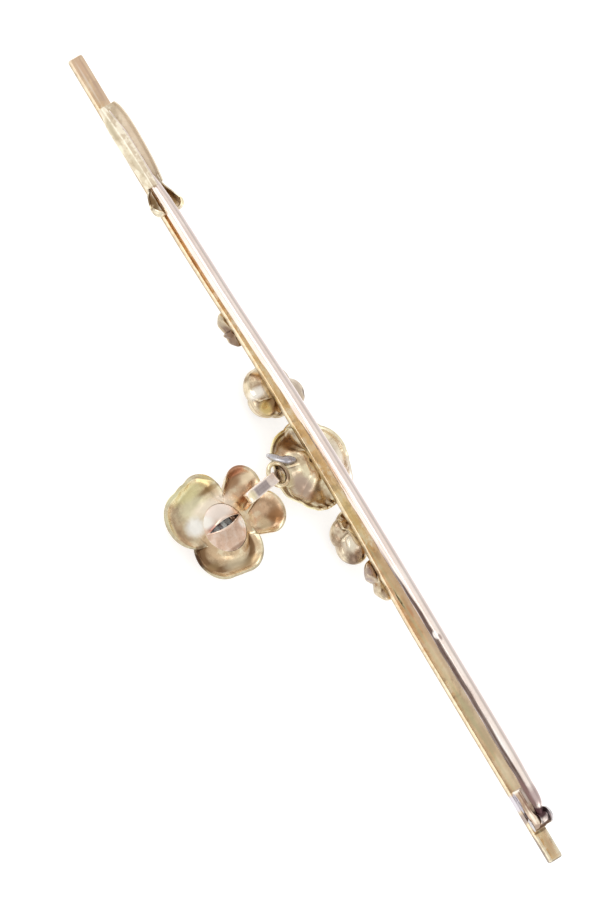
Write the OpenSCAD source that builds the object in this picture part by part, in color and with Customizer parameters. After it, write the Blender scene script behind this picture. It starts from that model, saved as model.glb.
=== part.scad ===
// Art nouveau bar brooch with rosebuds on the bar and a hanging flower, lying on its front.
// X runs along the bar towards the hinge, Y across it, Z up from the surface it lies on.
// The bar's back, with the pin stem, is the upper side.

/* [Bar] */
// Length of the bar over both tips
bar_len = 80; // [76:1:84]
// Width of the bar
bar_w = 1.42; // [1.35:0.01:1.5]
// Thickness of the bar
bar_t = 0.5; // [0.45:0.05:0.6]
// Height of the bar's front face above the surface, which is the depth of the flowers
bar_rise = 2.8; // [2.6:0.1:3.2]

// How far the bar is bent sideways in its middle
bar_bow = 0.42; // [0:0.02:0.6]

/* [Catch] */
// Length of the leaf-shaped catch along the bar
catch_len = 8.1; // [7.6:0.1:8.6]
// Where the mouth of the catch lies along the bar
catch_mouth = -27; // [-27.6:0.1:-26.6]
// Thickness of the catch's sheet
catch_sheet = 0.15; // [0.12:0.01:0.18]

/* [Pin stem] */
// Radius of the stem along its middle
stem_r = 0.6; // [0.56:0.01:0.62]
// Radius of the straight end that goes through cloth
tip_r = 0.36; // [0.32:0.01:0.38]
// Length of the sharpened point
point_len = 2.2; // [1.8:0.1:2.6]

/* [Hinge] */
// Where the rivet lies along the bar
hinge_x = 36.2; // [36:0.1:36.5]
// Height of the rivet above the bar's back
rivet_h = 1; // [0.95:0.05:1.1]
// Radius of the rivet
rivet_r = 0.24; // [0.2:0.01:0.26]
// Radius of the far ear
ear_r = 0.78; // [0.75:0.01:0.9]

/* [Flowers on the bar] */
// Reach of the open flower's petals from its centre
flower_r = 4.15; // [4:0.05:4.25]
// Reach of the two rosebuds from their centres
rosebud_r = 2.4; // [2.2:0.05:2.45]

/* [Drop] */
// Distance of the drop flower's centre from the bar's centre line
drop_reach = 10.8; // [10.7:0.1:11.2]
// Scale of the drop flower
drop_size = 1; // [0.92:0.01:1.04]
// Radius of the stone at its girdle
stone_r = 1.7; // [1.5:0.05:1.75]

/* [Hidden] */

// Place of the bar
bar_back = bar_rise + bar_t;
drop_low = 5.4;
bar_y = (drop_reach + drop_low * drop_size - flower_r) / 2;
gap = 0.04;

// Colours
old_gold = [0.80, 0.66, 0.42];
pale_gold = [0.84, 0.76, 0.52];
rose_gold = [0.86, 0.66, 0.56];
copper_gold = [0.74, 0.52, 0.38];
stone_grey = [0.70, 0.70, 0.74];

// Bar
corner = 0.14;
bar_stations = 24;
// Middle and half length of the part that is bent sideways
bow_x = -2.3;
bow_reach = 15;

// Pin stem, seen from the side
// Columns: place along the bar, height above the bar's back, radius
stem_line = [
    [-27.8, 0.60, tip_r + 0.05],
    [-26.3, 0.70, 0.51],
    [-24.5, 0.81, 0.57],
    [-20, 0.95, stem_r],
    [-15, 1.14, stem_r],
    [-10, 1.46, stem_r],
    [-5, 1.76, stem_r],
    [0, 1.90, stem_r],
    [10, 1.98, stem_r],
    [20, 1.90, stem_r],
    [29, 1.82, stem_r],
    [32.5, 1.72, stem_r - 0.05],
    [34.5, 1.64, 0.49],
    [35.3, 1.38, 0.38],
    [35.95, 1.13, 0.34]
];
stem_steps = 2;
stem_sides = 16;
tip_end_x = -34.6;
tip_h = 0.56;
tip_y = -0.285;
hinge_y = 0.09;
knuckle_r = 0.52;
knuckle_w = 0.88;
run_clear = 0.05;

// Hinge
plate_x = [33.1, 37.05];
plate_t = 0.28;
ear_t = 0.18;
ear_gap = 0.98;
ear_h = 1.1;
// The near ear is a long low wall. Columns: place from the rivet, height above the bar's back
wall_line = [
    [-3.05, 0],
    [0.72, 0],
    [0.72, 0.75],
    [0.45, 1.14],
    [0.15, 1.3],
    [-0.25, 1.3],
    [-0.75, 1.12],
    [-3.05, 1.14]
];
head_r = 0.38;
head_t = 0.1;
flush = 0.02;

// Catch, section by section from its closed end to its mouth
// Columns: share of the length, reach of the near bulge, height of the crest,
// reach of the far lip, height of the far lip
catch_rows = [
    [0, 1.04, 0.98, 0.76, 0.56],
    [0.08, 1.24, 1.30, 0.98, 0.70],
    [0.22, 1.50, 1.64, 1.10, 0.78],
    [0.42, 1.50, 1.86, 1.12, 0.80],
    [0.62, 1.42, 1.88, 1.08, 0.78],
    [0.80, 1.32, 1.84, 1.00, 0.74],
    [0.92, 1.24, 1.83, 0.88, 0.71],
    [1, 1.18, 1.80, 0.80, 0.68]
];
bulge_h = 0.5;
fold_share = 0.78;
floor_edge = 0.3;
near_foot = 0.9;
crest_clear = 0.52;
// Share of the length by which the mouth's foot is shorter than its crest
mouth_round = 0.035;

// Scrolls at the mouth of the catch, two cupped strips of the same sheet
// Columns: place past the mouth, then place across and height above the bar's back
// of the edge towards -Y, of the pull between the edges, and of the edge towards +Y
far_scroll = [
    [-0.7, 0.18, 0.15, 0.56, 0.13, 0.68, 0.52],
    [0.05, 0.18, 0.15, 0.56, 0.13, 0.68, 0.52],
    [0.5, 0.28, 0.12, 0.70, 0.06, 0.76, 0.66],
    [1.2, 0.26, 0.14, 0.95, 0.05, 1.00, 0.84],
    [1.8, 0.26, 0.16, 1.15, 0.10, 1.17, 0.98],
    [2.2, 0.28, 0.22, 1.20, 0.25, 1.16, 0.98],
    [2.55, 0.32, 0.34, 0.98, 0.50, 0.95, 0.80]
];
near_scroll = [
    [-0.7, -1.00, 0.42, -0.80, 0.10, -0.50, 0.15],
    [0.05, -1.00, 0.42, -0.80, 0.10, -0.50, 0.15],
    [0.4, -1.16, 0.26, -1.12, -0.10, -0.58, 0.10],
    [1.1, -1.40, 0.14, -1.30, -0.28, -0.55, 0.10],
    [1.7, -1.50, 0.10, -1.35, -0.34, -0.55, 0.12],
    [2.2, -1.40, 0.12, -1.20, -0.26, -0.58, 0.16],
    [2.5, -1.18, 0.16, -1.00, -0.02, -0.64, 0.22]
];
// Rolled ends of the scrolls
// Columns: place past the mouth, place across, height above the bar's back, radius
far_roll = [
    [2.0, 1.14, 0.98, 0.14],
    [2.42, 1.00, 0.86, 0.20],
    [2.60, 0.72, 0.62, 0.20],
    [2.50, 0.40, 0.40, 0.20]
];
near_roll = [
    [1.5, -1.30, 0.02, 0.20],
    [1.98, -1.26, 0.24, 0.30],
    [2.28, -1.02, 0.32, 0.32],
    [2.35, -0.80, 0.30, 0.22]
];

// Open flower. Petal columns: direction, distance of its middle, radius
flower_petals = [for (k = [0:5]) [40 + 60 * k, flower_r * 0.34, flower_r * 0.66]];
// Ring columns: share of the reach, height of the back, height of the front,
// both as shares of the bar's rise
flower_rings = [
    [0.14, 1.00, 0.00],
    [0.30, 1.00, 0.10],
    [0.40, 0.97, 0.24],
    [0.47, 0.78, 0.20],
    [0.60, 0.60, 0.26],
    [0.76, 0.56, 0.34],
    [0.88, 0.60, 0.44],
    [0.95, 0.70, 0.56],
    [1.00, 0.72, 0.66]
];
flower_x = 0.25;
flower_y = 0.15;

// Rosebuds
rosebud_y = 0.45;
left_bud_x = -6.9;
right_bud_x = 7.3;
left_bud_petals = [
    [165, rosebud_r * 0.34, rosebud_r * 0.70],
    [115, rosebud_r * 0.45, rosebud_r * 0.67],
    [215, rosebud_r * 0.36, rosebud_r * 0.72],
    [294, rosebud_r * 0.34, rosebud_r * 0.70],
    [6, rosebud_r * 0.30, rosebud_r * 0.70],
    [62, rosebud_r * 0.92, rosebud_r * 0.55]
];
right_bud_petals = [
    [172, rosebud_r * 0.33, rosebud_r * 0.64],
    [244, rosebud_r * 0.34, rosebud_r * 0.66],
    [312, rosebud_r * 0.55, rosebud_r * 0.62],
    [40, rosebud_r * 0.28, rosebud_r * 0.64],
    [104, rosebud_r * 0.28, rosebud_r * 0.64]
];
bud_rings = [
    [0.22, 1.00, 0.00],
    [0.45, 1.00, 0.05],
    [0.62, 0.92, 0.12],
    [0.78, 0.84, 0.22],
    [0.90, 0.76, 0.34],
    [0.97, 0.68, 0.44],
    [1.00, 0.60, 0.52]
];

// Leaf buds
leaf_rings = [
    [0.40, 1.00, 0.52],
    [0.68, 1.00, 0.54],
    [0.86, 0.96, 0.66],
    [1.00, 0.88, 0.78]
];
leaf_y = -0.1;
left_leaf_x = -13.2;
left_leaf_petals = [[180, 1.1, 0.62], [0, 0.2, 0.64], [3, 1.15, 0.52]];
right_leaf_x = 11.75;
right_leaf_petals = [[175, 0.75, 1.25], [355, 0.95, 1.0]];

// Drop flower. Petal columns: direction, distance of its middle, radius
drop_petals = [for (p = [
    [233, 3.44, 2.65],
    [211.5, 3.05, 2.42],
    [188, 3.16, 2.15],
    [310, 2.27, 2.60],
    [337.4, 1.86, 2.50],
    [9, 1.99, 2.40],
    [120.5, 4.54, 1.80],
    [82, 4.65, 1.95]
]) [p[0], p[1] * drop_size, p[2] * drop_size]];
drop_core = 3.3 * drop_size;
drop_rings = [
    [0.00, 0.54, 0.30],
    [0.22, 0.46, 0.34],
    [0.50, 0.42, 0.32],
    [0.74, 0.44, 0.34],
    [0.88, 0.52, 0.42],
    [0.96, 0.61, 0.52],
    [1.00, 0.62, 0.58]
];
drop_x = 1.05;

// Setting and stone of the drop
collet_r = 2.15;
collet_wall = 0.22;
collet_foot = 0.3;
collet_side = 1.58;
collet_top = 1.92;
bezel_r = stone_r + 0.04;
slot_length = 3.6;
slot_width = 0.95;
slot_turn = 92;
slot_place = [-0.3, 0.08];
// Columns: radius as a share of the girdle's, height above the table
stone_rows = [
    [0.62, 0],
    [1, 0.5],
    [1, 0.6],
    [0.06, 1.5]
];
facets = 12;

// Ring and bail
ring_x = -0.5;
ring_y = -3.64;
ring_wire = 0.21;
ring_r = 1.04;
ring_lift = 0.28;
ring_tilt = 8;
ring_sides = 16;
// Columns: place along the bar, place across it, height above the flower's rim, radius
solder_scroll = [
    [-2.3, -3.5, 0.28, 0.20],
    [-1.85, -3.1, 0.26, 0.24],
    [-1.37, -2.61, 0.22, 0.27],
    [-1.12, -2.0, 0.26, 0.24],
    [-0.96, -1.5, 0.44, 0.18]
];
bail_way = 277;
bail_w = 1;
bail_t = 0.2;
bail_len = 3.7;
bail_h = 0.98;
bail_drop = 3.5;

function share(a, b, t) = a + (b - a) * t;

// Sideways bend of the bar
function bow(x) = bar_bow * exp(-pow((x - bow_x) / bow_reach, 4));

// Place of the stem across the bar, on a straight line from its tip to the hinge
function stem_y(x) = share(tip_y, hinge_y, (x - tip_end_x) / (hinge_x - tip_end_x));

// A point on the bar's back, from its place along and across the bar and its height
function over_bar(x, y, h) = [x, bar_y + y, bar_back + h];

// How far a petal's round outline reaches in one direction from the flower's centre
function petal_reach(a, p) =
    let (across = p[1] * sin(a - p[0]), along = p[1] * cos(a - p[0]), left = p[2] * p[2] - across * across)
    left > 0 && (along > 0 || p[1] < p[2]) ? along + sqrt(left) : 0;

function outline(a, petals, core) = max([core, for (p = petals) petal_reach(a, p)]);

// A solid between two surfaces that share one petalled outline, ring by ring.
// The middle is closed, or open as a round hole.
module petalled(petals, core, rings, rise, steps, hole = 0) {
    last = len(rings) - 1;
    turn = [for (j = [0:steps - 1]) 360 * j / steps];
    reach = [for (a = turn) outline(a, petals, core) - hole];
    points = concat(
        [for (side = [1, 2]) for (row = rings) for (j = [0:steps - 1])
            let (r = hole + row[0] * reach[j])
            [r * cos(turn[j]), r * sin(turn[j]), rise * row[side]]],
        hole > 0 ? [] : [for (side = [1, 2]) [0, 0, rise * rings[0][side]]]
    );
    back = function (i, j) i * steps + j % steps;
    front = function (i, j) back(i + last + 1, j);
    middle = 2 * (last + 1) * steps;
    faces = concat(
        [for (j = [0:steps - 1]) each hole > 0 ?
            [[back(0, j + 1), back(0, j), front(0, j)], [back(0, j + 1), front(0, j), front(0, j + 1)]] :
            [[middle, back(0, j + 1), back(0, j)], [middle + 1, front(0, j), front(0, j + 1)]]],
        [for (i = [0:last - 1]) for (j = [0:steps - 1]) each [
            [back(i, j), back(i, j + 1), back(i + 1, j + 1)],
            [back(i, j), back(i + 1, j + 1), back(i + 1, j)],
            [front(i, j), front(i + 1, j + 1), front(i, j + 1)],
            [front(i, j), front(i + 1, j), front(i + 1, j + 1)]]],
        [for (j = [0:steps - 1]) each [
            [back(last, j), back(last, j + 1), front(last, j + 1)],
            [back(last, j), front(last, j + 1), front(last, j)]]]
    );
    polyhedron(points, faces);
}

// A solid through closed sections with the same even number of points, from left to
// right. Each section runs anticlockwise as seen from the hinge's end of the bar, and
// the second half of its points goes back along the first half.
module loft(sections) {
    n = len(sections[0]);
    last = len(sections) - 1;
    points = [for (s = sections) each s];
    end = [for (i = [0:n / 2 - 2]) each [[i, i + 1, n - 2 - i], [i, n - 2 - i, n - 1 - i]]];
    faces = concat(
        end,
        [for (f = end) [for (k = [2:-1:0]) last * n + f[k]]],
        [for (i = [0:last - 1]) for (j = [0:n - 1]) [i * n + j, (i + 1) * n + j, (i + 1) * n + (j + 1) % n]],
        [for (i = [0:last - 1]) for (j = [0:n - 1]) [i * n + j, (i + 1) * n + (j + 1) % n, i * n + (j + 1) % n]]
    );
    polyhedron(points, faces);
}

// One value of a table between two of its rows, on a smooth curve through them
function eased(rows, i, t, c) =
    let (
        a = rows[max(i - 1, 0)][c],
        b = rows[i][c],
        d = rows[i + 1][c],
        e = rows[min(i + 2, len(rows) - 1)][c]
    )
    b + t * (d - a) / 2 + t * t * (a - 2.5 * b + 2 * d - e / 2) + t * t * t * (1.5 * (b - d) + (e - a) / 2);

// The table again, with rows added between its own
function refined(rows, steps) = concat(
    [for (i = [0:len(rows) - 2]) for (k = [0:steps - 1])
        [for (c = [0:len(rows[0]) - 1]) eased(rows, i, k / steps, c)]],
    [rows[len(rows) - 1]]
);

// A bent wire of round balls, hulled two by two, through points with a radius each
module wire(points, radii) {
    for (i = [0:len(points) - 2])
        hull()
            for (k = [i, i + 1])
                translate(points[k])
                    sphere(r = radii[k], $fn = 8);
}

// One section of a cupped strip: its underside from edge to edge, then its upper side
function strip_section(row) =
    let (
        t = [0:0.25:1],
        line = [for (v = t) [for (c = [1, 2])
            pow(1 - v, 2) * row[c] + 2 * v * (1 - v) * row[c + 2] + v * v * row[c + 4]]],
        last = len(line) - 1,
        along = [for (i = [0:last]) line[min(i + 1, last)] - line[max(i - 1, 0)]],
        out = [for (a = along) [a[1], -a[0]] * catch_sheet / 2 / norm(a)]
    )
    concat(
        [for (i = [0:last]) over_bar(catch_mouth + row[0], line[i][0] + out[i][0], line[i][1] + out[i][1])],
        [for (i = [last:-1:0]) over_bar(catch_mouth + row[0], line[i][0] - out[i][0], line[i][1] - out[i][1])]
    );

// One long edge of the bar with its corners cut, from the left tip to the right
function bar_edge(side) = concat(
    [[-bar_len / 2, side * (bar_w / 2 - corner)]],
    [for (i = [0:bar_stations])
        let (x = share(-1, 1, i / bar_stations) * (bar_len / 2 - corner))
        [x, side * bar_w / 2 + bow(x)]],
    [[bar_len / 2, side * (bar_w / 2 - corner)]]
);

module bar() {
    near = bar_edge(-1);
    far = bar_edge(1);
    color(old_gold)
        translate([0, bar_y, bar_rise])
            linear_extrude(height = bar_t)
                polygon(concat(near, [for (i = [len(far) - 1:-1:0]) far[i]]));
}

// One section of the catch: its outer side from the crest to the far lip, then its
// inner side back. The stem lies between the near wall with its crest and the far
// lip. Low points lie further from the mouth.
function catch_section(row) =
    let (
        sheet = catch_sheet,
        crest_y = stem_y(catch_mouth - catch_len + row[0] * catch_len) - crest_clear,
        fold_y = share(-row[1], crest_y - sheet, 0.66),
        fold_h = row[2] * fold_share,
        section = [
            [crest_y - sheet * 0.8, row[2]],
            [fold_y - sheet / 2, fold_h],
            [-row[1], bulge_h],
            [-row[1] + 0.1, bulge_h * 0.35],
            [-near_foot, 0],
            [floor_edge + sheet, 0],
            [share(floor_edge, row[3], 0.82) + sheet * 0.5, row[4] * 0.4],
            [row[3], row[4] - 0.06],
            [row[3] - sheet * 0.6, row[4]],
            [share(floor_edge, row[3], 0.65), row[4] * 0.55],
            [floor_edge, sheet],
            [sheet - near_foot, sheet],
            [sheet - row[1] + 0.05, bulge_h * 0.6],
            [sheet - row[1], bulge_h],
            [fold_y + sheet * 0.7, fold_h - sheet * 0.5],
            [crest_y, row[2] - 0.04]
        ]
    )
    [for (p = section)
        let (reach = row[0] * (1 - mouth_round * pow(1 - p[1] / row[2], 2)))
        over_bar(catch_mouth - catch_len + reach * catch_len, p[0], p[1])];

module catch_sheath() {
    color(pale_gold)
        union() {
            loft([for (row = catch_rows) catch_section(row)]);
            for (rows = [far_scroll, near_scroll])
                loft([for (row = rows) strip_section(row)]);
            for (rows = [far_roll, near_roll])
                wire([for (row = rows) over_bar(catch_mouth + row[0], row[1], row[2])],
                     [for (row = rows) row[3]]);
        }
}

module hinge_plate() {
    rivet_place = over_bar(hinge_x, hinge_y, rivet_h);
    width = ear_gap + 2 * ear_t;
    color(pale_gold)
        difference() {
            union() {
                translate(over_bar(plate_x[0], hinge_y - width / 2, 0))
                    cube([plate_x[1] - plate_x[0], width, plate_t]);
                translate(over_bar(hinge_x, hinge_y - ear_gap / 2, 0))
                    rotate([90, 0, 0])
                        linear_extrude(height = ear_t)
                            polygon(wall_line);
                translate([0, (ear_gap + ear_t) / 2, 0]) {
                    translate(over_bar(hinge_x, hinge_y, ear_h))
                        rotate([90, 0, 0])
                            cylinder(h = ear_t, r = ear_r, center = true, $fn = 48);
                    translate(over_bar(hinge_x - ear_r, hinge_y - ear_t / 2, 0))
                        cube([2 * ear_r, ear_t, ear_h]);
                }
            }
            translate(rivet_place)
                rotate([90, 0, 0])
                    cylinder(h = width + 1, r = rivet_r + 0.01, center = true, $fn = 48);
        }
}

module hinge_rivet() {
    width = ear_gap + 2 * ear_t;
    color(copper_gold)
        translate(over_bar(hinge_x, hinge_y, rivet_h))
            rotate([90, 0, 0])
                union() {
                    cylinder(h = width + 2 * flush, r = rivet_r, center = true, $fn = 48);
                    translate([0, 0, -width / 2 - flush - head_t])
                        cylinder(h = head_t, r = head_r, $fn = 48);
                }
}

// The stem's straight end with its point, along X from the shoulder inside the stem
module stem_end(length) {
    inside = 0.5;
    rotate_extrude($fn = 48)
        polygon([
            [0, -inside],
            [tip_r, -inside],
            [tip_r, length - point_len],
            [0.05, length],
            [0, length]
        ]);
}

module pin_stem() {
    rows = refined(stem_line, stem_steps);
    start = over_bar(stem_line[0][0], stem_y(stem_line[0][0]), stem_line[0][1]);
    way = over_bar(tip_end_x, tip_y, tip_h) - start;
    eye = over_bar(hinge_x, hinge_y, rivet_h);
    color(rose_gold)
        difference() {
            union() {
                translate(start)
                    rotate([0, atan2(norm([way[0], way[1]]), way[2]), atan2(way[1], way[0])])
                        stem_end(norm(way));
                loft([for (row = rows)
                    [for (k = [0:stem_sides - 1])
                        let (a = 360 * k / stem_sides)
                        over_bar(row[0], stem_y(row[0]) + row[2] * cos(a), row[1] + row[2] * sin(a))]]);
                translate(eye)
                    rotate([90, 0, 0])
                        cylinder(h = knuckle_w, r = knuckle_r, center = true, $fn = 48);
            }
            translate(eye)
                rotate([90, 0, 0])
                    cylinder(h = knuckle_w + 2, r = rivet_r + run_clear, center = true, $fn = 48);
        }
}

module centre_flower() {
    color(pale_gold)
        translate([flower_x, bar_y + flower_y, 0])
            petalled(flower_petals, 1, flower_rings, bar_rise, 60);
}

module left_rosebud() {
    color(pale_gold)
        translate([left_bud_x, bar_y + rosebud_y, 0])
            petalled(left_bud_petals, 1, bud_rings, bar_rise, 40);
}

module right_rosebud() {
    color(pale_gold)
        translate([right_bud_x, bar_y + rosebud_y, 0])
            petalled(right_bud_petals, 1, bud_rings, bar_rise, 40);
}

module left_leaf_bud() {
    color(old_gold)
        translate([left_leaf_x, bar_y + leaf_y, 0])
            petalled(left_leaf_petals, 0.3, leaf_rings, bar_rise, 28);
}

module right_leaf_bud() {
    color(old_gold)
        translate([right_leaf_x, bar_y + leaf_y, 0])
            petalled(right_leaf_petals, 0.3, leaf_rings, bar_rise, 28);
}

module drop_ring() {
    rim = bar_rise * flower_rings[len(flower_rings) - 1][1];
    turn = [for (k = [0:ring_sides]) 360 * k / ring_sides];
    color(pale_gold)
        union() {
            translate([ring_x, bar_y + ring_y, rim + ring_lift])
                rotate([-ring_tilt, 0, 0])
                    wire([for (a = turn) [ring_r * cos(a), ring_r * sin(a), 0]],
                         [for (a = turn) ring_wire]);
            wire([for (row = solder_scroll) [row[0], bar_y + row[1], rim + row[2]]],
                 [for (row = solder_scroll) row[3]]);
        }
}

// Outline of the bail's flat loop, from its ring end along X
module bail_outline(inset) {
    r = bail_h / 2 - inset;
    hull_x = bail_len - bail_h / 2;
    translate([bail_h / 2, 0])
        circle(r = r, $fn = 32);
    translate([bail_h / 2, -r])
        square([hull_x - bail_h / 2, 2 * r]);
    translate([hull_x, 0])
        circle(r = r, $fn = 32);
}

module bail() {
    rim = bar_rise * flower_rings[len(flower_rings) - 1][1];
    reach = sqrt(pow(ring_r - ring_wire, 2) - bail_w * bail_w / 4) - bail_t - gap;
    color(rose_gold)
        translate([ring_x, bar_y + ring_y, rim + ring_lift + ring_r * sin(ring_tilt)])
            rotate([0, bail_drop, bail_way])
                translate([reach, 0, 0])
                    rotate([90, 0, 0])
                        linear_extrude(height = bail_w, center = true)
                            difference() {
                                bail_outline(0);
                                bail_outline(bail_t);
                            }
}

module drop_flower() {
    color(old_gold)
        translate([drop_x, bar_y - drop_reach, 0])
            petalled(drop_petals, drop_core, drop_rings, bar_rise, 84, collet_r + gap);
}

// Round setting with a domed back, which is open as a pointed slot
module drop_collet() {
    seat = stone_rows[2][1] + 0.05;
    dome_in = collet_top - collet_wall;
    half = slot_length / 2;
    bow = (half * half + slot_width * slot_width / 4) / slot_width;
    color(rose_gold)
        translate([drop_x, bar_y - drop_reach, 0])
            difference() {
                rotate_extrude($fn = 64)
                    polygon([
                        [bezel_r, collet_foot],
                        [collet_r, collet_foot],
                        [collet_r, collet_side],
                        [collet_r * 0.82, share(collet_side, collet_top, 0.55)],
                        [collet_r * 0.5, share(collet_side, collet_top, 0.88)],
                        [0, collet_top],
                        [0, dome_in],
                        [collet_r * 0.5, dome_in - 0.05],
                        [collet_r - collet_wall, collet_side - collet_wall],
                        [collet_r - collet_wall, seat],
                        [bezel_r, seat]
                    ]);
                translate([slot_place[0], slot_place[1], collet_side - collet_wall])
                    rotate([0, 0, slot_turn])
                        linear_extrude(height = 1)
                            intersection_for(side = [-1, 1])
                                translate([0, side * (bow - slot_width / 2)])
                                    circle(r = bow, $fn = 96);
            }
}

module drop_stone() {
    color(stone_grey)
        translate([drop_x, bar_y - drop_reach, 0])
            rotate_extrude($fn = facets)
                polygon(concat(
                    [[0, stone_rows[0][1]]],
                    [for (row = stone_rows) [row[0] * stone_r, row[1]]],
                    [[0, stone_rows[3][1]]]
                ));
}

bar();
catch_sheath();
hinge_plate();
hinge_rivet();
pin_stem();
centre_flower();
left_rosebud();
right_rosebud();
left_leaf_bud();
right_leaf_bud();
drop_ring();
bail();
drop_flower();
drop_collet();
drop_stone();
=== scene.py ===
"""Looks of a gold bar brooch with rosebuds, an open flower and a hanging flower.

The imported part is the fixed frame. Lengths in this file are millimetres in the
part's frame, and are turned into metres where a mesh or a node is made.
"""

import logging
from dataclasses import dataclass, field
from enum import Enum
from math import radians
from typing import Callable, Sequence

import bpy
import numpy as np
from mathutils import Matrix, Vector
from numpy.typing import NDArray


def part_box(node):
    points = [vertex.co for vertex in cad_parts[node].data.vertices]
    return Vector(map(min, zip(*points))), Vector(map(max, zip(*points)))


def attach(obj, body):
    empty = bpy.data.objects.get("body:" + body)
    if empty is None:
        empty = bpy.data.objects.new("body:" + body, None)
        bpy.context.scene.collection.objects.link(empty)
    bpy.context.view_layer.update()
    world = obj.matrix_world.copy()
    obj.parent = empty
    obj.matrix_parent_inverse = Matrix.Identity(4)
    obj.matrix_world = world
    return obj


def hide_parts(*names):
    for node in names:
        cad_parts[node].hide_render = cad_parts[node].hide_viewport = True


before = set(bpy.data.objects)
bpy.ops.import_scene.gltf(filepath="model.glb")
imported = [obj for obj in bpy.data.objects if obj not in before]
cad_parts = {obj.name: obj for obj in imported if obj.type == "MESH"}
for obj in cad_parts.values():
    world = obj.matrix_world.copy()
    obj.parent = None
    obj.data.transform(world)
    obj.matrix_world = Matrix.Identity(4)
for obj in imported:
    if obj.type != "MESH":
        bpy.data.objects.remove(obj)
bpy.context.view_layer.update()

Array = NDArray[np.float64]
Colour = tuple[float, float, float]
Spot = tuple[float, float, float]
Marks = dict[str, Array]
Rows = tuple[tuple[float, ...], ...]
# Rows of a patch's fields in order, with centres from the place that the piece gives to patches
# These rows hold real stained places and solder, and also painted highlights and painted shade
StainsAndPaintedLight = tuple[tuple[Spot, Spot, Colour, float, float, float], ...]
Whole = NDArray[np.int64]
Socket = bpy.types.NodeSocket

MM = 0.001
BAR_WIDTH = 1.42
# Shares of a step across the bar and of a step up that show as height in the picture
ACROSS_SEEN, UP_SEEN = 0.809, 0.588
# The stem's tip, how far it runs from there to the hinge, and how far it drifts across on the way
STEM_TIP, STEM_RUN, STEM_DRIFT = (-34.6, -0.285), 70.8, 0.375
log = logging.getLogger("brooch")


def columns(*parts: Array | float) -> Array:
    """Arrays of numbers, or single numbers, side by side on a last axis."""
    return np.stack(np.broadcast_arrays(*parts), axis=-1)


class Body(Enum):
    """The two rigid bodies of the brooch."""

    BROOCH = "brooch"
    PIN = "pin"


@dataclass(frozen=True)
class Layout:
    """Where the bar lies.

    Fields are the bar's centre line across, the height of its back, and the
    height of its front face, which is the depth of the flowers.
    """

    bar_y: float
    back: float
    rise: float

    @classmethod
    def read(cls) -> "Layout":
        """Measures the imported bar.

        Returns:
            The layout, from the corners of the bar's box.
        """
        low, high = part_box("bar")
        return cls(low.y / MM + BAR_WIDTH / 2, high.z / MM, low.z / MM)

    def over(self, x: Array, y: Array, h: Array) -> Array:
        """Points over the bar's back.

        Args:
            x: places along the bar.
            y: places across it, from its centre line.
            h: heights above its back.

        Returns:
            The points, one row each.
        """
        return columns(x, y + self.bar_y, h + self.back).astype(float)

    def at(self, place: tuple[float, float], height: float = 0.0) -> Array:
        """A point over the surface that the brooch lies on.

        Args:
            place: its place along the bar, and across from its centre line.
            height: its height over the surface.

        Returns:
            The point.
        """
        return np.array([place[0], self.bar_y + place[1], height])


LAYOUT = Layout.read()


def stem_y(x: Array) -> Array:
    """The stem's place across the bar, which runs straight from its tip to the hinge."""
    return STEM_TIP[1] + STEM_DRIFT * (x - STEM_TIP[0]) / STEM_RUN


def seen_height(across: Array, up: Array) -> Array:
    """How high a place lies in the picture, square to the bar."""
    return ACROSS_SEEN * across + UP_SEEN * up


def smooth(rows: Sequence[Sequence[float]], count: int) -> Array:
    """A table with more rows, on a Catmull-Rom curve.

    Between two rows each column is a cubic, whose slope at a row is half the
    difference of that row's two neighbours.

    Args:
        rows: the table.
        count: how many rows to return.

    Returns:
        The finer table, which passes through the rows given.
    """
    table = np.asarray(rows, float)
    last = len(table) - 1
    place = np.linspace(0, last, count)
    i = np.clip(place.astype(int), 0, last - 1)
    t = (place - i)[:, None]
    a, b, c, d = (table[np.clip(i + k, 0, last)] for k in (-1, 0, 1, 2))
    return 0.5 * (2 * b + (c - a) * t + (2 * a - 5 * b + 4 * c - d) * t**2 + (3 * b - a - 3 * c + d) * t**3)


def eased(value: Array, low: float, high: float) -> Array:
    """0 below low, 1 above high, and the cubic 3t^2 - 2t^3 between them."""
    t = np.clip((value - low) / (high - low), 0, 1)
    return t * t * (3 - 2 * t)


def bell(value: Array, width: float) -> Array:
    """A bell curve, exp(-(value / width)^2), which is 1 at 0."""
    return np.exp(-((value / width) ** 2))


def unit(vectors: Array) -> Array:
    """The vectors of the last axis, each divided by its length."""
    return vectors / np.linalg.norm(vectors, axis=-1, keepdims=True)


def swung(a: Array, b: Array, turn: float) -> tuple[Array, Array]:
    """Places a and b, turned by an angle from a towards b."""
    return a * np.cos(turn) - b * np.sin(turn), a * np.sin(turn) + b * np.cos(turn)


def turns(count: int) -> Array:
    """Directions that share a full turn evenly."""
    return np.linspace(0, 2 * np.pi, count, endpoint=False)


def circle(count: int) -> Array:
    """Points on a circle of radius 1, a row each."""
    turn = turns(count)
    return columns(np.cos(turn), np.sin(turn))


def lattice(rows: int, cols: int, ring_rows: bool = False) -> Whole:
    """Quads that join a grid of points whose rows are rings.

    Args:
        rows: how many rows of points there are.
        cols: how many points a row has.
        ring_rows: whether the last row joins the first.

    Returns:
        Four point numbers for each quad.
    """
    i = np.arange(rows if ring_rows else rows - 1)
    a, b = np.meshgrid(i, np.arange(cols), indexing="ij")
    c, d = (a + 1) % rows, (b + 1) % cols
    return columns(a * cols + b, a * cols + d, c * cols + d, c * cols + b).reshape(-1, 4)


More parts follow.
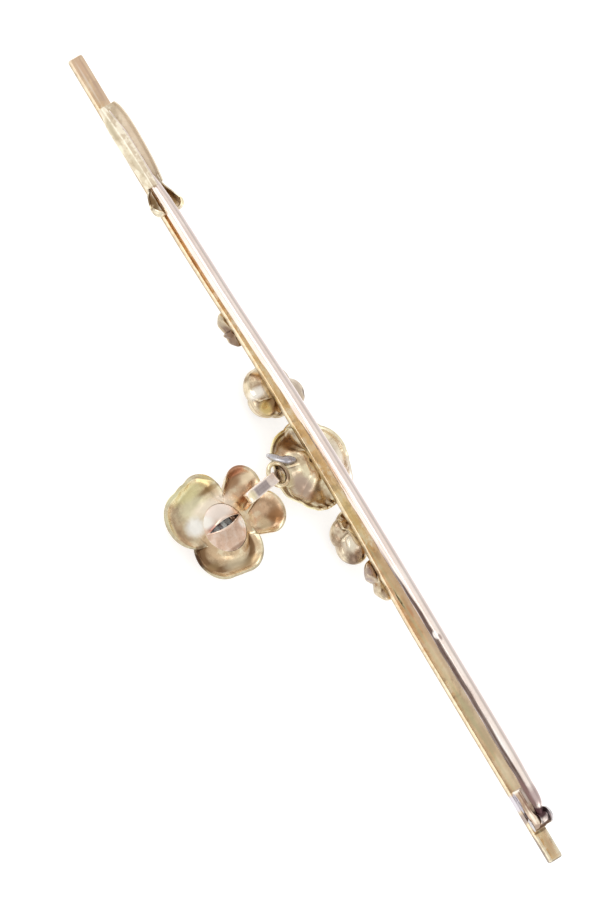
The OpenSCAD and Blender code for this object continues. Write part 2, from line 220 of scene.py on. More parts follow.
@dataclass
class Shell:
    """A closed surface: its points, its quads and triangles, and a mark for each point."""

    points: Array
    quads: Whole
    triangles: Whole = field(default_factory=lambda: np.zeros((0, 3), np.int64))
    marks: Marks = field(default_factory=dict)
    slot_index: int = 0

    def corners(self) -> Whole:
        """All faces as triangles, each quad cut in two."""
        q = self.quads
        return np.concatenate([q[:, [0, 1, 2]], q[:, [0, 2, 3]], self.triangles])

    def outward(self) -> "Shell":
        """The shell with its faces turned outwards.

        The volume is the sum of a . (b x c) / 6 over the triangles, and is
        negative where the faces look inwards.

        Returns:
            This shell.
        """
        t = self.corners()
        a, b, c = (self.points[t[:, k]] for k in range(3))
        if np.einsum("ij,ij->", a, np.cross(b, c)) < 0:
            self.quads = self.quads[:, ::-1]
            self.triangles = self.triangles[:, ::-1]
        return self


def closed_grid(grid: Array, marks: Marks | None = None) -> Shell:
    """A shell from a grid whose rows are rings, with a point in the middle of each end.

    Args:
        grid: points, as rows x points in a row x 3.
        marks: values on the same grid.

    Returns:
        The closed shell.
    """
    rows, cols = grid.shape[:2]
    ends = np.stack([grid[0].mean(0), grid[-1].mean(0)])
    points = np.concatenate([grid.reshape(-1, 3), ends])
    j = np.arange(cols)
    k = (j + 1) % cols
    first = columns(rows * cols, k, j)
    last = columns(rows * cols + 1, (rows - 1) * cols + j, (rows - 1) * cols + k)
    held = {n: np.append(v.reshape(-1), [v[0].mean(), v[-1].mean()]) for n, v in (marks or {}).items()}
    return Shell(points, lattice(rows, cols), np.concatenate([first, last]), held).outward()


def ring_grid(grid: Array, marks: Marks | None = None) -> Shell:
    """A shell from a grid that closes on itself both ways, such as a link.

    Args:
        grid: points, as rows x points in a row x 3.
        marks: values on the same grid.

    Returns:
        The closed shell.
    """
    rows, cols = grid.shape[:2]
    held = {n: v.reshape(-1) for n, v in (marks or {}).items()}
    return Shell(grid.reshape(-1, 3), lattice(rows, cols, ring_rows=True), marks=held).outward()


def carried(profile: Array, path: Array, side: Array) -> Array:
    """A profile carried along a path.

    A point is path + a * side + b * up, where up is square to the path and to side.

    Args:
        profile: columns a and b, for all of the path or for each of its points.
        path: points of the path.
        side: the direction of a, for all of the path or for each of its points.

    Returns:
        A grid of points, a row for each point of the path.
    """
    along = unit(np.gradient(path, axis=0))
    side = np.broadcast_to(np.asarray(side, float), path.shape)
    side = unit(side - along * np.einsum("ij,ij->i", side, along)[:, None])
    up = np.cross(side, along)
    shape = np.broadcast_to(profile, (len(path),) + profile.shape[-2:])
    return path[:, None] + shape[..., :1] * side[:, None] + shape[..., 1:] * up[:, None]


def wire(rows: Sequence[Sequence[float]], side: Spot, count: int) -> Shell:
    """A bent round wire with round ends.

    It is a circle carried along a smooth curve, and at each end its radius
    falls as the root of 1 - u^2 while it goes on by u radii.

    Args:
        rows: x, y, z and radius of points on the wire.
        side: a direction that the wire nowhere runs along.
        count: how many rings it has.

    Returns:
        The wire as a closed shell.
    """
    table = smooth(rows, count)
    u = np.sin(np.linspace(0, np.pi / 2, 6))[1:] * 0.98
    start, end = table[0], table[-1]
    before = start[:3] + unit(start[:3] - table[1, :3]) * (u * start[3])[:, None]
    after = end[:3] + unit(end[:3] - table[-2, :3]) * (u * end[3])[:, None]
    fall = np.sqrt(1 - u**2)
    path = np.concatenate([before[::-1], table[:, :3], after])
    radius = np.concatenate([(start[3] * fall)[::-1], table[:, 3], end[3] * fall])
    return closed_grid(carried(circle(20)[None] * radius[:, None, None], path, np.asarray(side, float)))


def turned(profile: Array, centre: Array, steps: int, ring: bool = False) -> Shell:
    """A profile turned round an axis that runs across the bar.

    A point is the centre plus a along the axis, and r cos(turn), r sin(turn) square to it.

    Args:
        profile: columns a, along the axis, and r, the radius.
        centre: the point on the axis where a is 0.
        steps: how many times the profile is repeated round it.
        ring: whether the profile is a closed loop that stays off the axis.

    Returns:
        The turned shell.
    """
    turn = turns(steps)
    along = np.broadcast_to(profile[:, :1], (len(profile), steps))
    grid = np.stack((profile[:, 1:] * np.sin(turn), along, profile[:, 1:] * np.cos(turn)), axis=-1) + centre
    return ring_grid(grid) if ring else closed_grid(grid)


def sheeted(line: Array, half: Array) -> Array:
    """Outlines of a bent sheet, out along one side of its middle line and back along the other.

    Args:
        line: points of middle lines, as lines x points in a line x 2.
        half: half the sheet's thickness at each point of a line, negative to
            go out along the other side.

    Returns:
        The outlines, a row for each line.
    """
    run = unit(np.gradient(line, axis=1))
    away = columns(-run[..., 1], run[..., 0]) * half[:, None]
    return np.concatenate([line + away, (line - away)[:, ::-1]], axis=1)


def rounded_box(width: float, height: float, radius: float, flat: int, corner: int) -> Array:
    """Outline of a box with round corners, its lower side at 0.

    Args:
        width: its width, centred on 0.
        height: its height.
        radius: the corners' radius.
        flat: points on the upper and the lower side.
        corner: points on each corner.

    Returns:
        The outline's points, columns across and up, anticlockwise.
    """
    turn = np.linspace(0, np.pi / 2, corner)
    sides = []
    for k, (cx, cy) in enumerate([(1, 1), (-1, 1), (-1, -1), (1, -1)]):
        middle = np.array([cx * (width / 2 - radius), height / 2 + cy * (height / 2 - radius)])
        arc = middle + radius * columns(np.cos(turn + k * np.pi / 2), np.sin(turn + k * np.pi / 2))
        sides.append(arc)
        if k in (0, 2):
            x = np.linspace(arc[-1, 0], -arc[-1, 0], flat + 2)[1:-1]
            sides.append(columns(x, arc[-1, 1]))
    return np.concatenate(sides)


def drawn_in(thickness: float, edge: float, middle: float) -> tuple[Array, Array]:
    """How the rings of a plate's outline are drawn in through its thickness.

    Near both faces they are drawn in along a quarter of a circle, and the
    first and the last ring lie on the faces, nearer to the middle.

    Args:
        thickness: the plate's thickness, centred on 0.
        edge: radius of its edges.
        middle: how far in the first and the last ring lie.

    Returns:
        How far in each ring lies, and its place through the thickness.
    """
    turn = np.linspace(0, np.pi / 2, 6)
    inset = edge * (1 - np.sin(turn))
    depth = thickness / 2 - edge * (1 - np.cos(turn))
    inset = np.concatenate([[middle], inset, inset[::-1], [middle]])
    return inset, np.concatenate([[depth[0]], depth, -depth[::-1], [-depth[0]]])


def slab(outline: Array, thickness: float, edge: float, place: Callable[[Array, Array, Array], Array]) -> Shell:
    """A plate with rounded edges, whose outline is repeated through its thickness.

    Args:
        outline: points a, b of a convex outline.
        thickness: the plate's thickness, centred on 0.
        edge: radius of its edges.
        place: makes points of a, b and the place through the thickness.

    Returns:
        The plate as a closed shell.
    """
    inset, depth = drawn_in(thickness, edge, edge * 3)
    middle = outline.mean(0)
    reach = np.linalg.norm(outline - middle, axis=1).mean()
    shape = middle + (outline - middle) * (1 - inset[:, None, None] / reach)
    return closed_grid(place(shape[..., 0], shape[..., 1], np.broadcast_to(depth[:, None], shape.shape[:2])))


def bends(points: Array, corners: Whole) -> Array:
    """How sharply the surface bends at each point.

    For each edge it is twice the other end's height over the point's tangent
    plane, over the edge's length squared: the curvature in 1/mm. It is the
    mean over a point's edges, above 0 in a hollow and below 0 on a ridge.

    Args:
        points: the points.
        corners: the triangles.

    Returns:
        The curvature at each point.
    """
    a, b, c = (points[corners[:, k]] for k in range(3))
    normal = np.zeros_like(points)
    flat = np.cross(b - a, c - a)
    for k in range(3):
        np.add.at(normal, corners[:, k], flat)
    normal /= np.linalg.norm(normal, axis=1, keepdims=True) + 1e-12
    start = corners[:, [0, 1, 2]].reshape(-1)
    end = corners[:, [1, 2, 0]].reshape(-1)
    total, count = np.zeros(len(points)), np.zeros(len(points))
    for p, q in ((start, end), (end, start)):
        edge = points[q] - points[p]
        length = np.einsum("ij,ij->i", edge, edge) + 1e-9
        np.add.at(total, p, 2 * np.einsum("ij,ij->i", normal[p], edge) / length)
        np.add.at(count, p, 1)
    return total / np.maximum(count, 1)


def shown(name: str, data: bpy.types.ID) -> bpy.types.Object:
    """A new object in the scene.

    Args:
        name: its name.
        data: the mesh, light or camera that it shows.

    Returns:
        The object.
    """
    thing = bpy.data.objects.new(name, data)
    bpy.context.scene.collection.objects.link(thing)
    return thing


@dataclass(frozen=True)
class Patch:
    """A soldered, stained, bare or dark place on a piece; many patches are painted highlights and painted shade.

    It fills an egg shape round its centre, with half lengths reach, and soft is
    how much of it fades. Its colour shows with its strength, and so does its
    roughness.
    """

    centre: Spot
    reach: Spot
    colour: Colour
    strength: float
    roughness: float
    soft: float


def patches(rows: StainsAndPaintedLight, x: float = 0.0, y: float = 0.0, z: float = 0.0) -> tuple[Patch, ...]:
    """Patches from rows of their fields.

    Args:
        rows: centre, reach, colour, strength, roughness and soft.
        x: what is added to each centre along the bar.
        y: what is added across it, to the place from the bar's centre line.
        z: what is added up.

    Returns:
        The patches.
    """
    return tuple(Patch((c[0] + x, c[1] + LAYOUT.bar_y + y, c[2] + z), *rest) for c, *rest in rows)


class Bench:
    """Builds the nodes of one material."""

    def __init__(self, name: str) -> None:
        """Starts a material with one shader.

        Args:
            name: the material's name.
        """
        self.material = bpy.data.materials.new(name)
        self.material.use_nodes = True
        self.tree = self.material.node_tree
        self.shader = self.tree.nodes["Principled BSDF"]
        coordinates = self.tree.nodes.new("ShaderNodeTexCoord")
        self.place = coordinates.outputs["Object"]

    def join(self, value: object, socket: Socket) -> None:
        """Links a socket, or sets a constant, on an input.

        Args:
            value: the socket, number or colour.
            socket: the input.
        """
        if isinstance(value, Socket):
            self.tree.links.new(value, socket)
        elif isinstance(value, tuple) and len(value) == 3 and socket.type == "RGBA":
            socket.default_value = (*value, 1.0)
        else:
            socket.default_value = value

    def give(self, name: str, value: object) -> None:
        """Links a socket, or sets a constant, on the shader's input of that name."""
        self.join(value, self.shader.inputs[name])

    def step(self, kind: str, a: object, b: object, clamp: bool) -> Socket:
        """One arithmetic step on two numbers.

        Args:
            kind: the operation.
            a: the first number or socket.
            b: the second number or socket.
            clamp: whether the result stays between 0 and 1.

        Returns:
            The result's socket.
        """
        node = self.tree.nodes.new("ShaderNodeMath")
        node.operation = kind
        node.use_clamp = clamp
        self.join(a, node.inputs[0])
        self.join(b, node.inputs[1])
        return node.outputs[0]

    def times(self, a: object, b: object, clamp: bool = True) -> Socket:
        """The product of two numbers, kept between 0 and 1 where clamp is true."""
        return self.step("MULTIPLY", a, b, clamp)

    def plus(self, a: object, b: object, clamp: bool = True) -> Socket:
        """The sum of two numbers, kept between 0 and 1 where clamp is true."""
        return self.step("ADD", a, b, clamp)

    def less(self, a: object, b: object, clamp: bool = True) -> Socket:
        """The first number less the second, kept between 0 and 1 where clamp is true."""
        return self.step("SUBTRACT", a, b, clamp)

    def blend(self, share: object, a: object, b: object) -> Socket:
        """A colour between two colours.

        Args:
            share: 0 for a, 1 for b.
            a: the first colour or socket.
            b: the second colour or socket.

        Returns:
            The colour's socket.
        """
        node = self.tree.nodes.new("ShaderNodeMix")
        node.data_type = "RGBA"
        self.join(share, node.inputs[0])
        self.join(a, node.inputs[6])
        self.join(b, node.inputs[7])
        return node.outputs[2]

    def spread(self, value: object, low: float, high: float) -> Socket:
        """Stretches a number so that low becomes 0 and high becomes 1, eased.

        Args:
            value: the number's socket.
            low: what becomes 0.
            high: what becomes 1.

        Returns:
            The new number's socket.
        """
        node = self.tree.nodes.new("ShaderNodeMapRange")
        node.interpolation_type = "SMOOTHSTEP"
        self.join(value, node.inputs["Value"])
        node.inputs["From Min"].default_value = low
        node.inputs["From Max"].default_value = high
        return node.outputs["Result"]

    def stretched(self, scale: Spot, turn: float = 0.0) -> Socket:
        """Object coordinates, turned about Z and scaled.

        Args:
            scale: the scale along each axis.
            turn: the angle.

        Returns:
            The coordinates' socket.
        """
        node = self.tree.nodes.new("ShaderNodeMapping")
        node.inputs["Scale"].default_value = scale
        node.inputs["Rotation"].default_value = (0, 0, turn)
        self.join(self.place, node.inputs["Vector"])
        return node.outputs["Vector"]

    def noise(self, per_mm: float, detail: float = 3.0, place: object = None) -> Socket:
        """Cloudy noise.

        Args:
            per_mm: how many clouds there are in a millimetre.
            detail: how much finer noise is laid over it.
            place: the coordinates, or none for the object's own.

        Returns:
            The socket of a number round 0.5.
        """
        node = self.tree.nodes.new("ShaderNodeTexNoise")
        node.inputs["Scale"].default_value = per_mm / MM
        node.inputs["Detail"].default_value = detail
        node.inputs["Roughness"].default_value = 0.6
        self.join(place or self.place, node.inputs["Vector"])
        return node.outputs["Fac"]

    def mark(self, name: str) -> Socket:
        """The number that the mesh holds for each point under a name.

        Args:
            name: the name.

        Returns:
            The number's socket.
        """
        node = self.tree.nodes.new("ShaderNodeAttribute")
        node.attribute_name = name
        return node.outputs["Fac"]

    def vector(self, kind: str, a: Socket, b: Spot = (0.0, 0.0, 0.0)) -> bpy.types.Node:
        """One step of vector arithmetic.

        Args:
            kind: the operation.
            a: the vector's socket.
            b: a constant in millimetres, where the operation takes two vectors.

        Returns:
            The node.
        """
        node = self.tree.nodes.new("ShaderNodeVectorMath")
        node.operation = kind
        self.join(a, node.inputs[0])
        node.inputs[1].default_value = [part * MM for part in b]
        return node

    def inside(self, patch: Patch, ragged: Socket) -> Socket:
        """How far a place lies inside a patch.

        The distance from the patch's centre, over its reach along each axis,
        has noise added to it and is eased from 1 inside to 0 outside.

        Args:
            patch: the patch.
            ragged: noise for its edge.

        Returns:
            The socket of the share, times the patch's strength.
        """
        away = self.vector("SUBTRACT", self.place, patch.centre)
        over = self.vector("DIVIDE", away.outputs[0], patch.reach)
        length = self.vector("LENGTH", over.outputs[0])
        shaken = self.plus(length.outputs["Value"], self.times(ragged, 0.5, False), False)
        share = self.spread(shaken, 1.25 + patch.soft * 0.5, 1.25 - patch.soft * 0.5)
        return self.times(share, patch.strength)


@dataclass(frozen=True)
class Gold:
    """A finish of gold or solder.

    Fields are the clean colour, the colour of its clouds, of the painted
    highlight and wear on its edges, of its tarnished hollows and painted
    shade, and of its tone, as on petals that stand apart, which on the stem
    is a painted reflection and on the bail painted shade, then its roughness
    and how much that varies, the size of the clouds, the depth and direction
    of its fine scratches, how strong the tarnished hollows with painted shade
    and the painted edge highlight are, how metallic it is, how much less so
    where the tone mark is 1, how strong and how fine its mottling is, and how
    strong the streaks along its scratches are.
    """

    name: str
    clean: Colour
    cloud: Colour
    edge: Colour
    tarnish_and_shade: Colour
    warm: Colour
    roughness: float = 0.2
    varied: float = 0.16
    clouds_per_mm: float = 0.35
    scratch: float = 0.12
    grain: Spot = (0.12, 1.0, 1.0)
    grain_turn: float = 0.0
    tarnish_and_shade_share: float = 1.0
    highlight_share: float = 0.8
    metal: float = 1.0
    matt: float = 0.0
    mottle: float = 0.0
    mottles_per_mm: float = 1.3
    streaks: float = 0.0

    def material(self, piece: str, places: Sequence[Patch] = ()) -> bpy.types.Material:
        """The finish as a material for one piece.

        The colour goes from clean to cloud with noise, then to warm by the tone
        mark, then to the colour of tarnished hollows with painted shade by the
        hollow and dark-stripe marks, then to the edge colour as a painted
        highlight by the rim mark, and last to each patch, many of which are
        painted highlights and painted shade. Roughness follows fine noise, and
        the bump is that noise and long scratches.

        Args:
            piece: the piece's name.
            places: patches of another colour.

        Returns:
            The material.
        """
        b = Bench(f"{piece}_{self.name}")
        clouds = b.spread(b.noise(self.clouds_per_mm, 4), 0.41, 0.6)
        fine = b.noise(2.6, 6)
        lines = b.noise(5.0, 3, b.stretched(self.grain, self.grain_turn))
        colour = b.blend(clouds, self.clean, self.cloud)
        if self.streaks:
            colour = b.blend(b.times(b.spread(lines, 0.42, 0.6), self.streaks), colour, self.cloud)
        colour = b.blend(b.mark("tone"), colour, self.warm)
        if self.mottle:
            spots = b.noise(self.mottles_per_mm, 5)
            colour = b.blend(b.times(b.spread(spots, 0.51, 0.61), self.mottle), colour, self.edge)
            colour = b.blend(b.times(b.spread(spots, 0.48, 0.38), self.mottle), colour, self.tarnish_and_shade)
        # Hollows are partly tarnished and partly painted shade; the dark stripes are painted shade
        dirt_and_shade = b.times(b.mark("hollow"), b.plus(fine, 0.45, False))
        band = b.times(b.mark("band"), b.plus(lines, 0.5, False))
        dirt_and_shade = b.times(b.plus(dirt_and_shade, band), self.tarnish_and_shade_share)
        colour = b.blend(dirt_and_shade, colour, self.tarnish_and_shade)
        # Ridges and rims get a painted highlight in the edge colour, with some wear
        painted_highlight = b.times(b.mark("rim"), b.plus(b.spread(fine, 0.3, 0.7), 0.5, False))
        colour = b.blend(b.times(painted_highlight, self.highlight_share), colour, self.edge)
        rough = b.plus(self.roughness - self.varied / 2, b.times(fine, self.varied))
        rough = b.plus(rough, b.times(dirt_and_shade, 0.14))
        for patch in places:
            share = b.inside(patch, fine)
            colour = b.blend(share, colour, patch.colour)
            other = b.times(share, b.less(patch.roughness, rough, False), False)
            rough = b.plus(rough, other)
        b.give("Base Color", colour)
        if self.matt:
            dull = b.times(b.mark("tone"), self.matt)
            b.give("Metallic", b.less(self.metal, dull))
            rough = b.plus(rough, b.times(dull, 0.5))
        else:
            b.give("Metallic", self.metal)
        b.give("Roughness", rough)
        bump = b.tree.nodes.new("ShaderNodeBump")
        bump.inputs["Strength"].default_value = self.scratch
        bump.inputs["Distance"].default_value = 0.02 * MM
        b.join(b.plus(fine, lines, False), bump.inputs["Height"])
        b.give("Normal", bump.outputs["Normal"])
        return b.material


@dataclass(frozen=True)
class Stone:
    """A cut stone, seen from below: clear and grey, with darker veils in it."""

    name: str = "pale_stone"
    pale: Colour = (0.72, 0.76, 0.74)
    dusk: Colour = (0.12, 0.07, 0.07)

    def material(self, piece: str) -> bpy.types.Material:
        """The stone's material.

        Args:
            piece: the piece's name.

        Returns:
            The material, whose colour goes from pale to dusk with noise.
        """
        b = Bench(f"{piece}_{self.name}")
        veil = b.spread(b.noise(0.9, 3, b.stretched((0.5, 1.6, 1.0), 0.4)), 0.42, 0.6)
        b.give("Base Color", b.blend(veil, self.pale, self.dusk))
        b.give("Roughness", b.times(b.noise(4.0, 2), 0.12))
        b.give("Transmission Weight", 0.35)
        b.give("IOR", 1.62)
        return b.material


class Finishes:
    """The finishes of the brooch's metals and stone."""

    # In each finish the third colour is a painted highlight with some wear on edges, the fourth paints tarnished
    # hollows and painted shade, and the rose gold's fourth and fifth colours paint the stem's reflections and the
    # bail's shade
    BAR = Gold("bar_gold", (0.92, 0.68, 0.39), (0.68, 0.41, 0.17), (0.99, 0.91, 0.70), (0.36, 0.26, 0.16),
               (0.94, 0.78, 0.62), roughness=0.27, scratch=0.3, grain=(0.12, 1.0, 1.0), mottle=0.55,
               mottles_per_mm=0.9, streaks=0.5)
    GREEN = Gold("green_gold", (0.76, 0.67, 0.50), (0.66, 0.57, 0.42), (0.98, 0.93, 0.78), (0.42, 0.32, 0.20),
                 (0.62, 0.51, 0.37), roughness=0.34, scratch=0.22, grain=(0.1, 1.0, 1.0), tarnish_and_shade_share=0.75,
                 matt=0.75, mottle=0.55, mottles_per_mm=1.1)
    HINGE = Gold("hinge_gold", (0.66, 0.51, 0.40), (0.48, 0.34, 0.24), (0.99, 0.90, 0.74), (0.26, 0.16, 0.10),
                 (0.7, 0.6, 0.5), roughness=0.3, scratch=0.25, grain=(0.1, 1.0, 1.0), mottle=0.4, mottles_per_mm=1.6)
    ROSE = Gold("rose_gold", (1.0, 0.89, 0.82), (0.92, 0.77, 0.69), (1.0, 0.97, 0.93), (0.10, 0.055, 0.042),
                (0.74, 0.65, 0.64), roughness=0.18, scratch=0.2, grain=(0.04, 1.0, 1.0), streaks=0.6)
    SETTING = Gold("setting_gold", (0.86, 0.66, 0.53), (0.74, 0.52, 0.39), (1.0, 0.94, 0.86), (0.26, 0.14, 0.09),
                   (0.98, 0.88, 0.80), roughness=0.24, scratch=0.2, grain=(1.0, 0.3, 1.0), mottle=0.2)
    COPPER = Gold("copper_gold", (0.50, 0.31, 0.20), (0.36, 0.20, 0.13), (0.82, 0.64, 0.46), (0.12, 0.06, 0.04),
                  (0.40, 0.25, 0.18), roughness=0.3)
    PETAL = Gold("flower_gold", (0.76, 0.66, 0.48), (0.56, 0.44, 0.29), (0.99, 0.93, 0.66), (0.30, 0.20, 0.11),
                 (0.78, 0.66, 0.58), roughness=0.22, scratch=0.2, grain=(1.0, 0.2, 1.0), clouds_per_mm=0.6,
                 tarnish_and_shade_share=0.7, mottle=0.45, mottles_per_mm=0.9)
    BUD = Gold("bud_gold", (0.64, 0.52, 0.35), (0.40, 0.28, 0.17), (0.94, 0.84, 0.62), (0.15, 0.085, 0.045),
               (0.62, 0.50, 0.42), roughness=0.2, scratch=0.16, grain=(1.0, 0.2, 1.0), clouds_per_mm=0.7,
               highlight_share=0.6, tarnish_and_shade_share=0.75, mottle=0.4, mottles_per_mm=1.0)
    DROP = Gold("drop_gold", (0.82, 0.68, 0.46), (0.62, 0.45, 0.28), (1.0, 0.95, 0.70), (0.24, 0.14, 0.07),
                (0.74, 0.50, 0.32), roughness=0.22, scratch=0.2, grain=(1.0, 0.2, 1.0), clouds_per_mm=0.4,
                mottle=0.4, mottles_per_mm=0.6, streaks=0.4)
    GREY = Gold("grey_solder", (0.62, 0.59, 0.60), (0.48, 0.44, 0.47), (0.90, 0.88, 0.87), (0.14, 0.09, 0.10),
                (0.5, 0.46, 0.46), roughness=0.3, scratch=0.25, mottle=0.3)
    SILVER = Gold("silver_solder", (0.52, 0.51, 0.54), (0.30, 0.28, 0.31), (0.90, 0.89, 0.88), (0.16, 0.11, 0.11),
                  (0.5, 0.48, 0.46), roughness=0.26, scratch=0.25)
    STONE = Stone()


@dataclass
class Piece:
    """A finished piece: its shells, what it rides on and what it stands for.

    Fields are its name, body, material slots of the record, which are not used, the CAD nodes that
    it replaces, its materials, and how its edges catch the light.
    """

    name: str
    body: Body
    slot: str
    replaces: tuple[str, ...]
    materials: tuple[bpy.types.Material, ...]
    # ridge scales the painted highlight on ridges and the tarnished hollows with painted shade
    ridge: float = 0.08
    crease: float = 38.0

    def make(self, shells: Sequence[Shell], paint: Callable[[Array], Marks] | None = None) -> bpy.types.Object:
        """Puts the shells into one mesh, as one closed body.

        Args:
            shells: the shells, which are fused where there is more than one.
            paint: gives marks from the points, for a fused piece.

        Returns:
            The object, which rides on its body.
        """
        shell, index = self.fused(shells) if len(shells) > 1 else (shells[0], None)
        mesh = bpy.data.meshes.new(self.name)
        faces = shell.quads.tolist() + shell.triangles.tolist()
        mesh.from_pydata((shell.points * MM).tolist(), [], faces)
        marks = dict(shell.marks)
        if paint is not None:
            marks.update(paint(shell.points))
        curve = bends(shell.points, shell.corners())
        # Ridges get a painted highlight with some wear, and hollows get tarnishing and painted shade
        marks["rim"] = np.clip(marks.get("rim", 0) + np.clip(-curve * self.ridge, 0, 1), 0, 1)
        marks["hollow"] = np.clip(marks.get("hollow", 0) + np.clip(curve * self.ridge * 1.5, 0, 1), 0, 1)
        for name in ("rim", "hollow", "band", "tone"):
            held = mesh.attributes.new(name, "FLOAT", "POINT")
            values = np.broadcast_to(marks.get(name, np.zeros(1)), len(shell.points))
            held.data.foreach_set("value", np.ascontiguousarray(values, np.float32))
        for material in self.materials:
            mesh.materials.append(material)
        if index is not None:
            mesh.polygons.foreach_set("material_index", index)
        mesh.polygons.foreach_set("use_smooth", np.ones(len(mesh.polygons), bool))
        mesh.set_sharp_from_angle(angle=radians(self.crease))
        mesh.update()
        piece = shown(self.name, mesh)
        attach(piece, self.body.value)
        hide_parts(*self.replaces)
        log.info("%s: %d points, rides on %s", self.name, len(shell.points), self.body.value)
        return piece

    def fused(self, shells: Sequence[Shell]) -> tuple[Shell, NDArray[np.int32]]:
        """One closed surface round all the shells, by exact union.

        Args:
            shells: closed shells that cut into one another.

        Returns:
            The fused shell, with its faces as triangles, and the material
            number of each face.
        """
        objects = []
        for shell in shells:
            mesh = bpy.data.meshes.new("shell")
            mesh.from_pydata(shell.points.tolist(), [], shell.quads.tolist() + shell.triangles.tolist())
            for material in self.materials:
                mesh.materials.append(material)
            mesh.polygons.foreach_set("material_index", np.full(len(mesh.polygons), shell.slot_index, np.int32))
            mesh.update()
            objects.append(shown("shell", mesh))
        for other in objects[1:]:
            union = objects[0].modifiers.new("union", "BOOLEAN")
            union.operation = "UNION"
            union.solver = "EXACT"
            union.object = other
        cut = objects[0].modifiers.new("cut", "TRIANGULATE")
        cut.min_vertices = 4
        result = bpy.data.meshes.new_from_object(objects[0].evaluated_get(bpy.context.evaluated_depsgraph_get()))
        points = np.zeros(len(result.vertices) * 3)
        result.vertices.foreach_get("co", points)
        corners = np.zeros(len(result.polygons) * 3, np.int32)
        result.polygons.foreach_get("vertices", corners)
        index = np.zeros(len(result.polygons), np.int32)
        result.polygons.foreach_get("material_index", index)
        for spent in objects:
            held = spent.data
            bpy.data.objects.remove(spent)
            bpy.data.meshes.remove(held)
        bpy.data.meshes.remove(result)
        quads = np.zeros((0, 4), np.int64)
        return Shell(points.reshape(-1, 3), quads, corners.reshape(-1, 3).astype(np.int64)), index


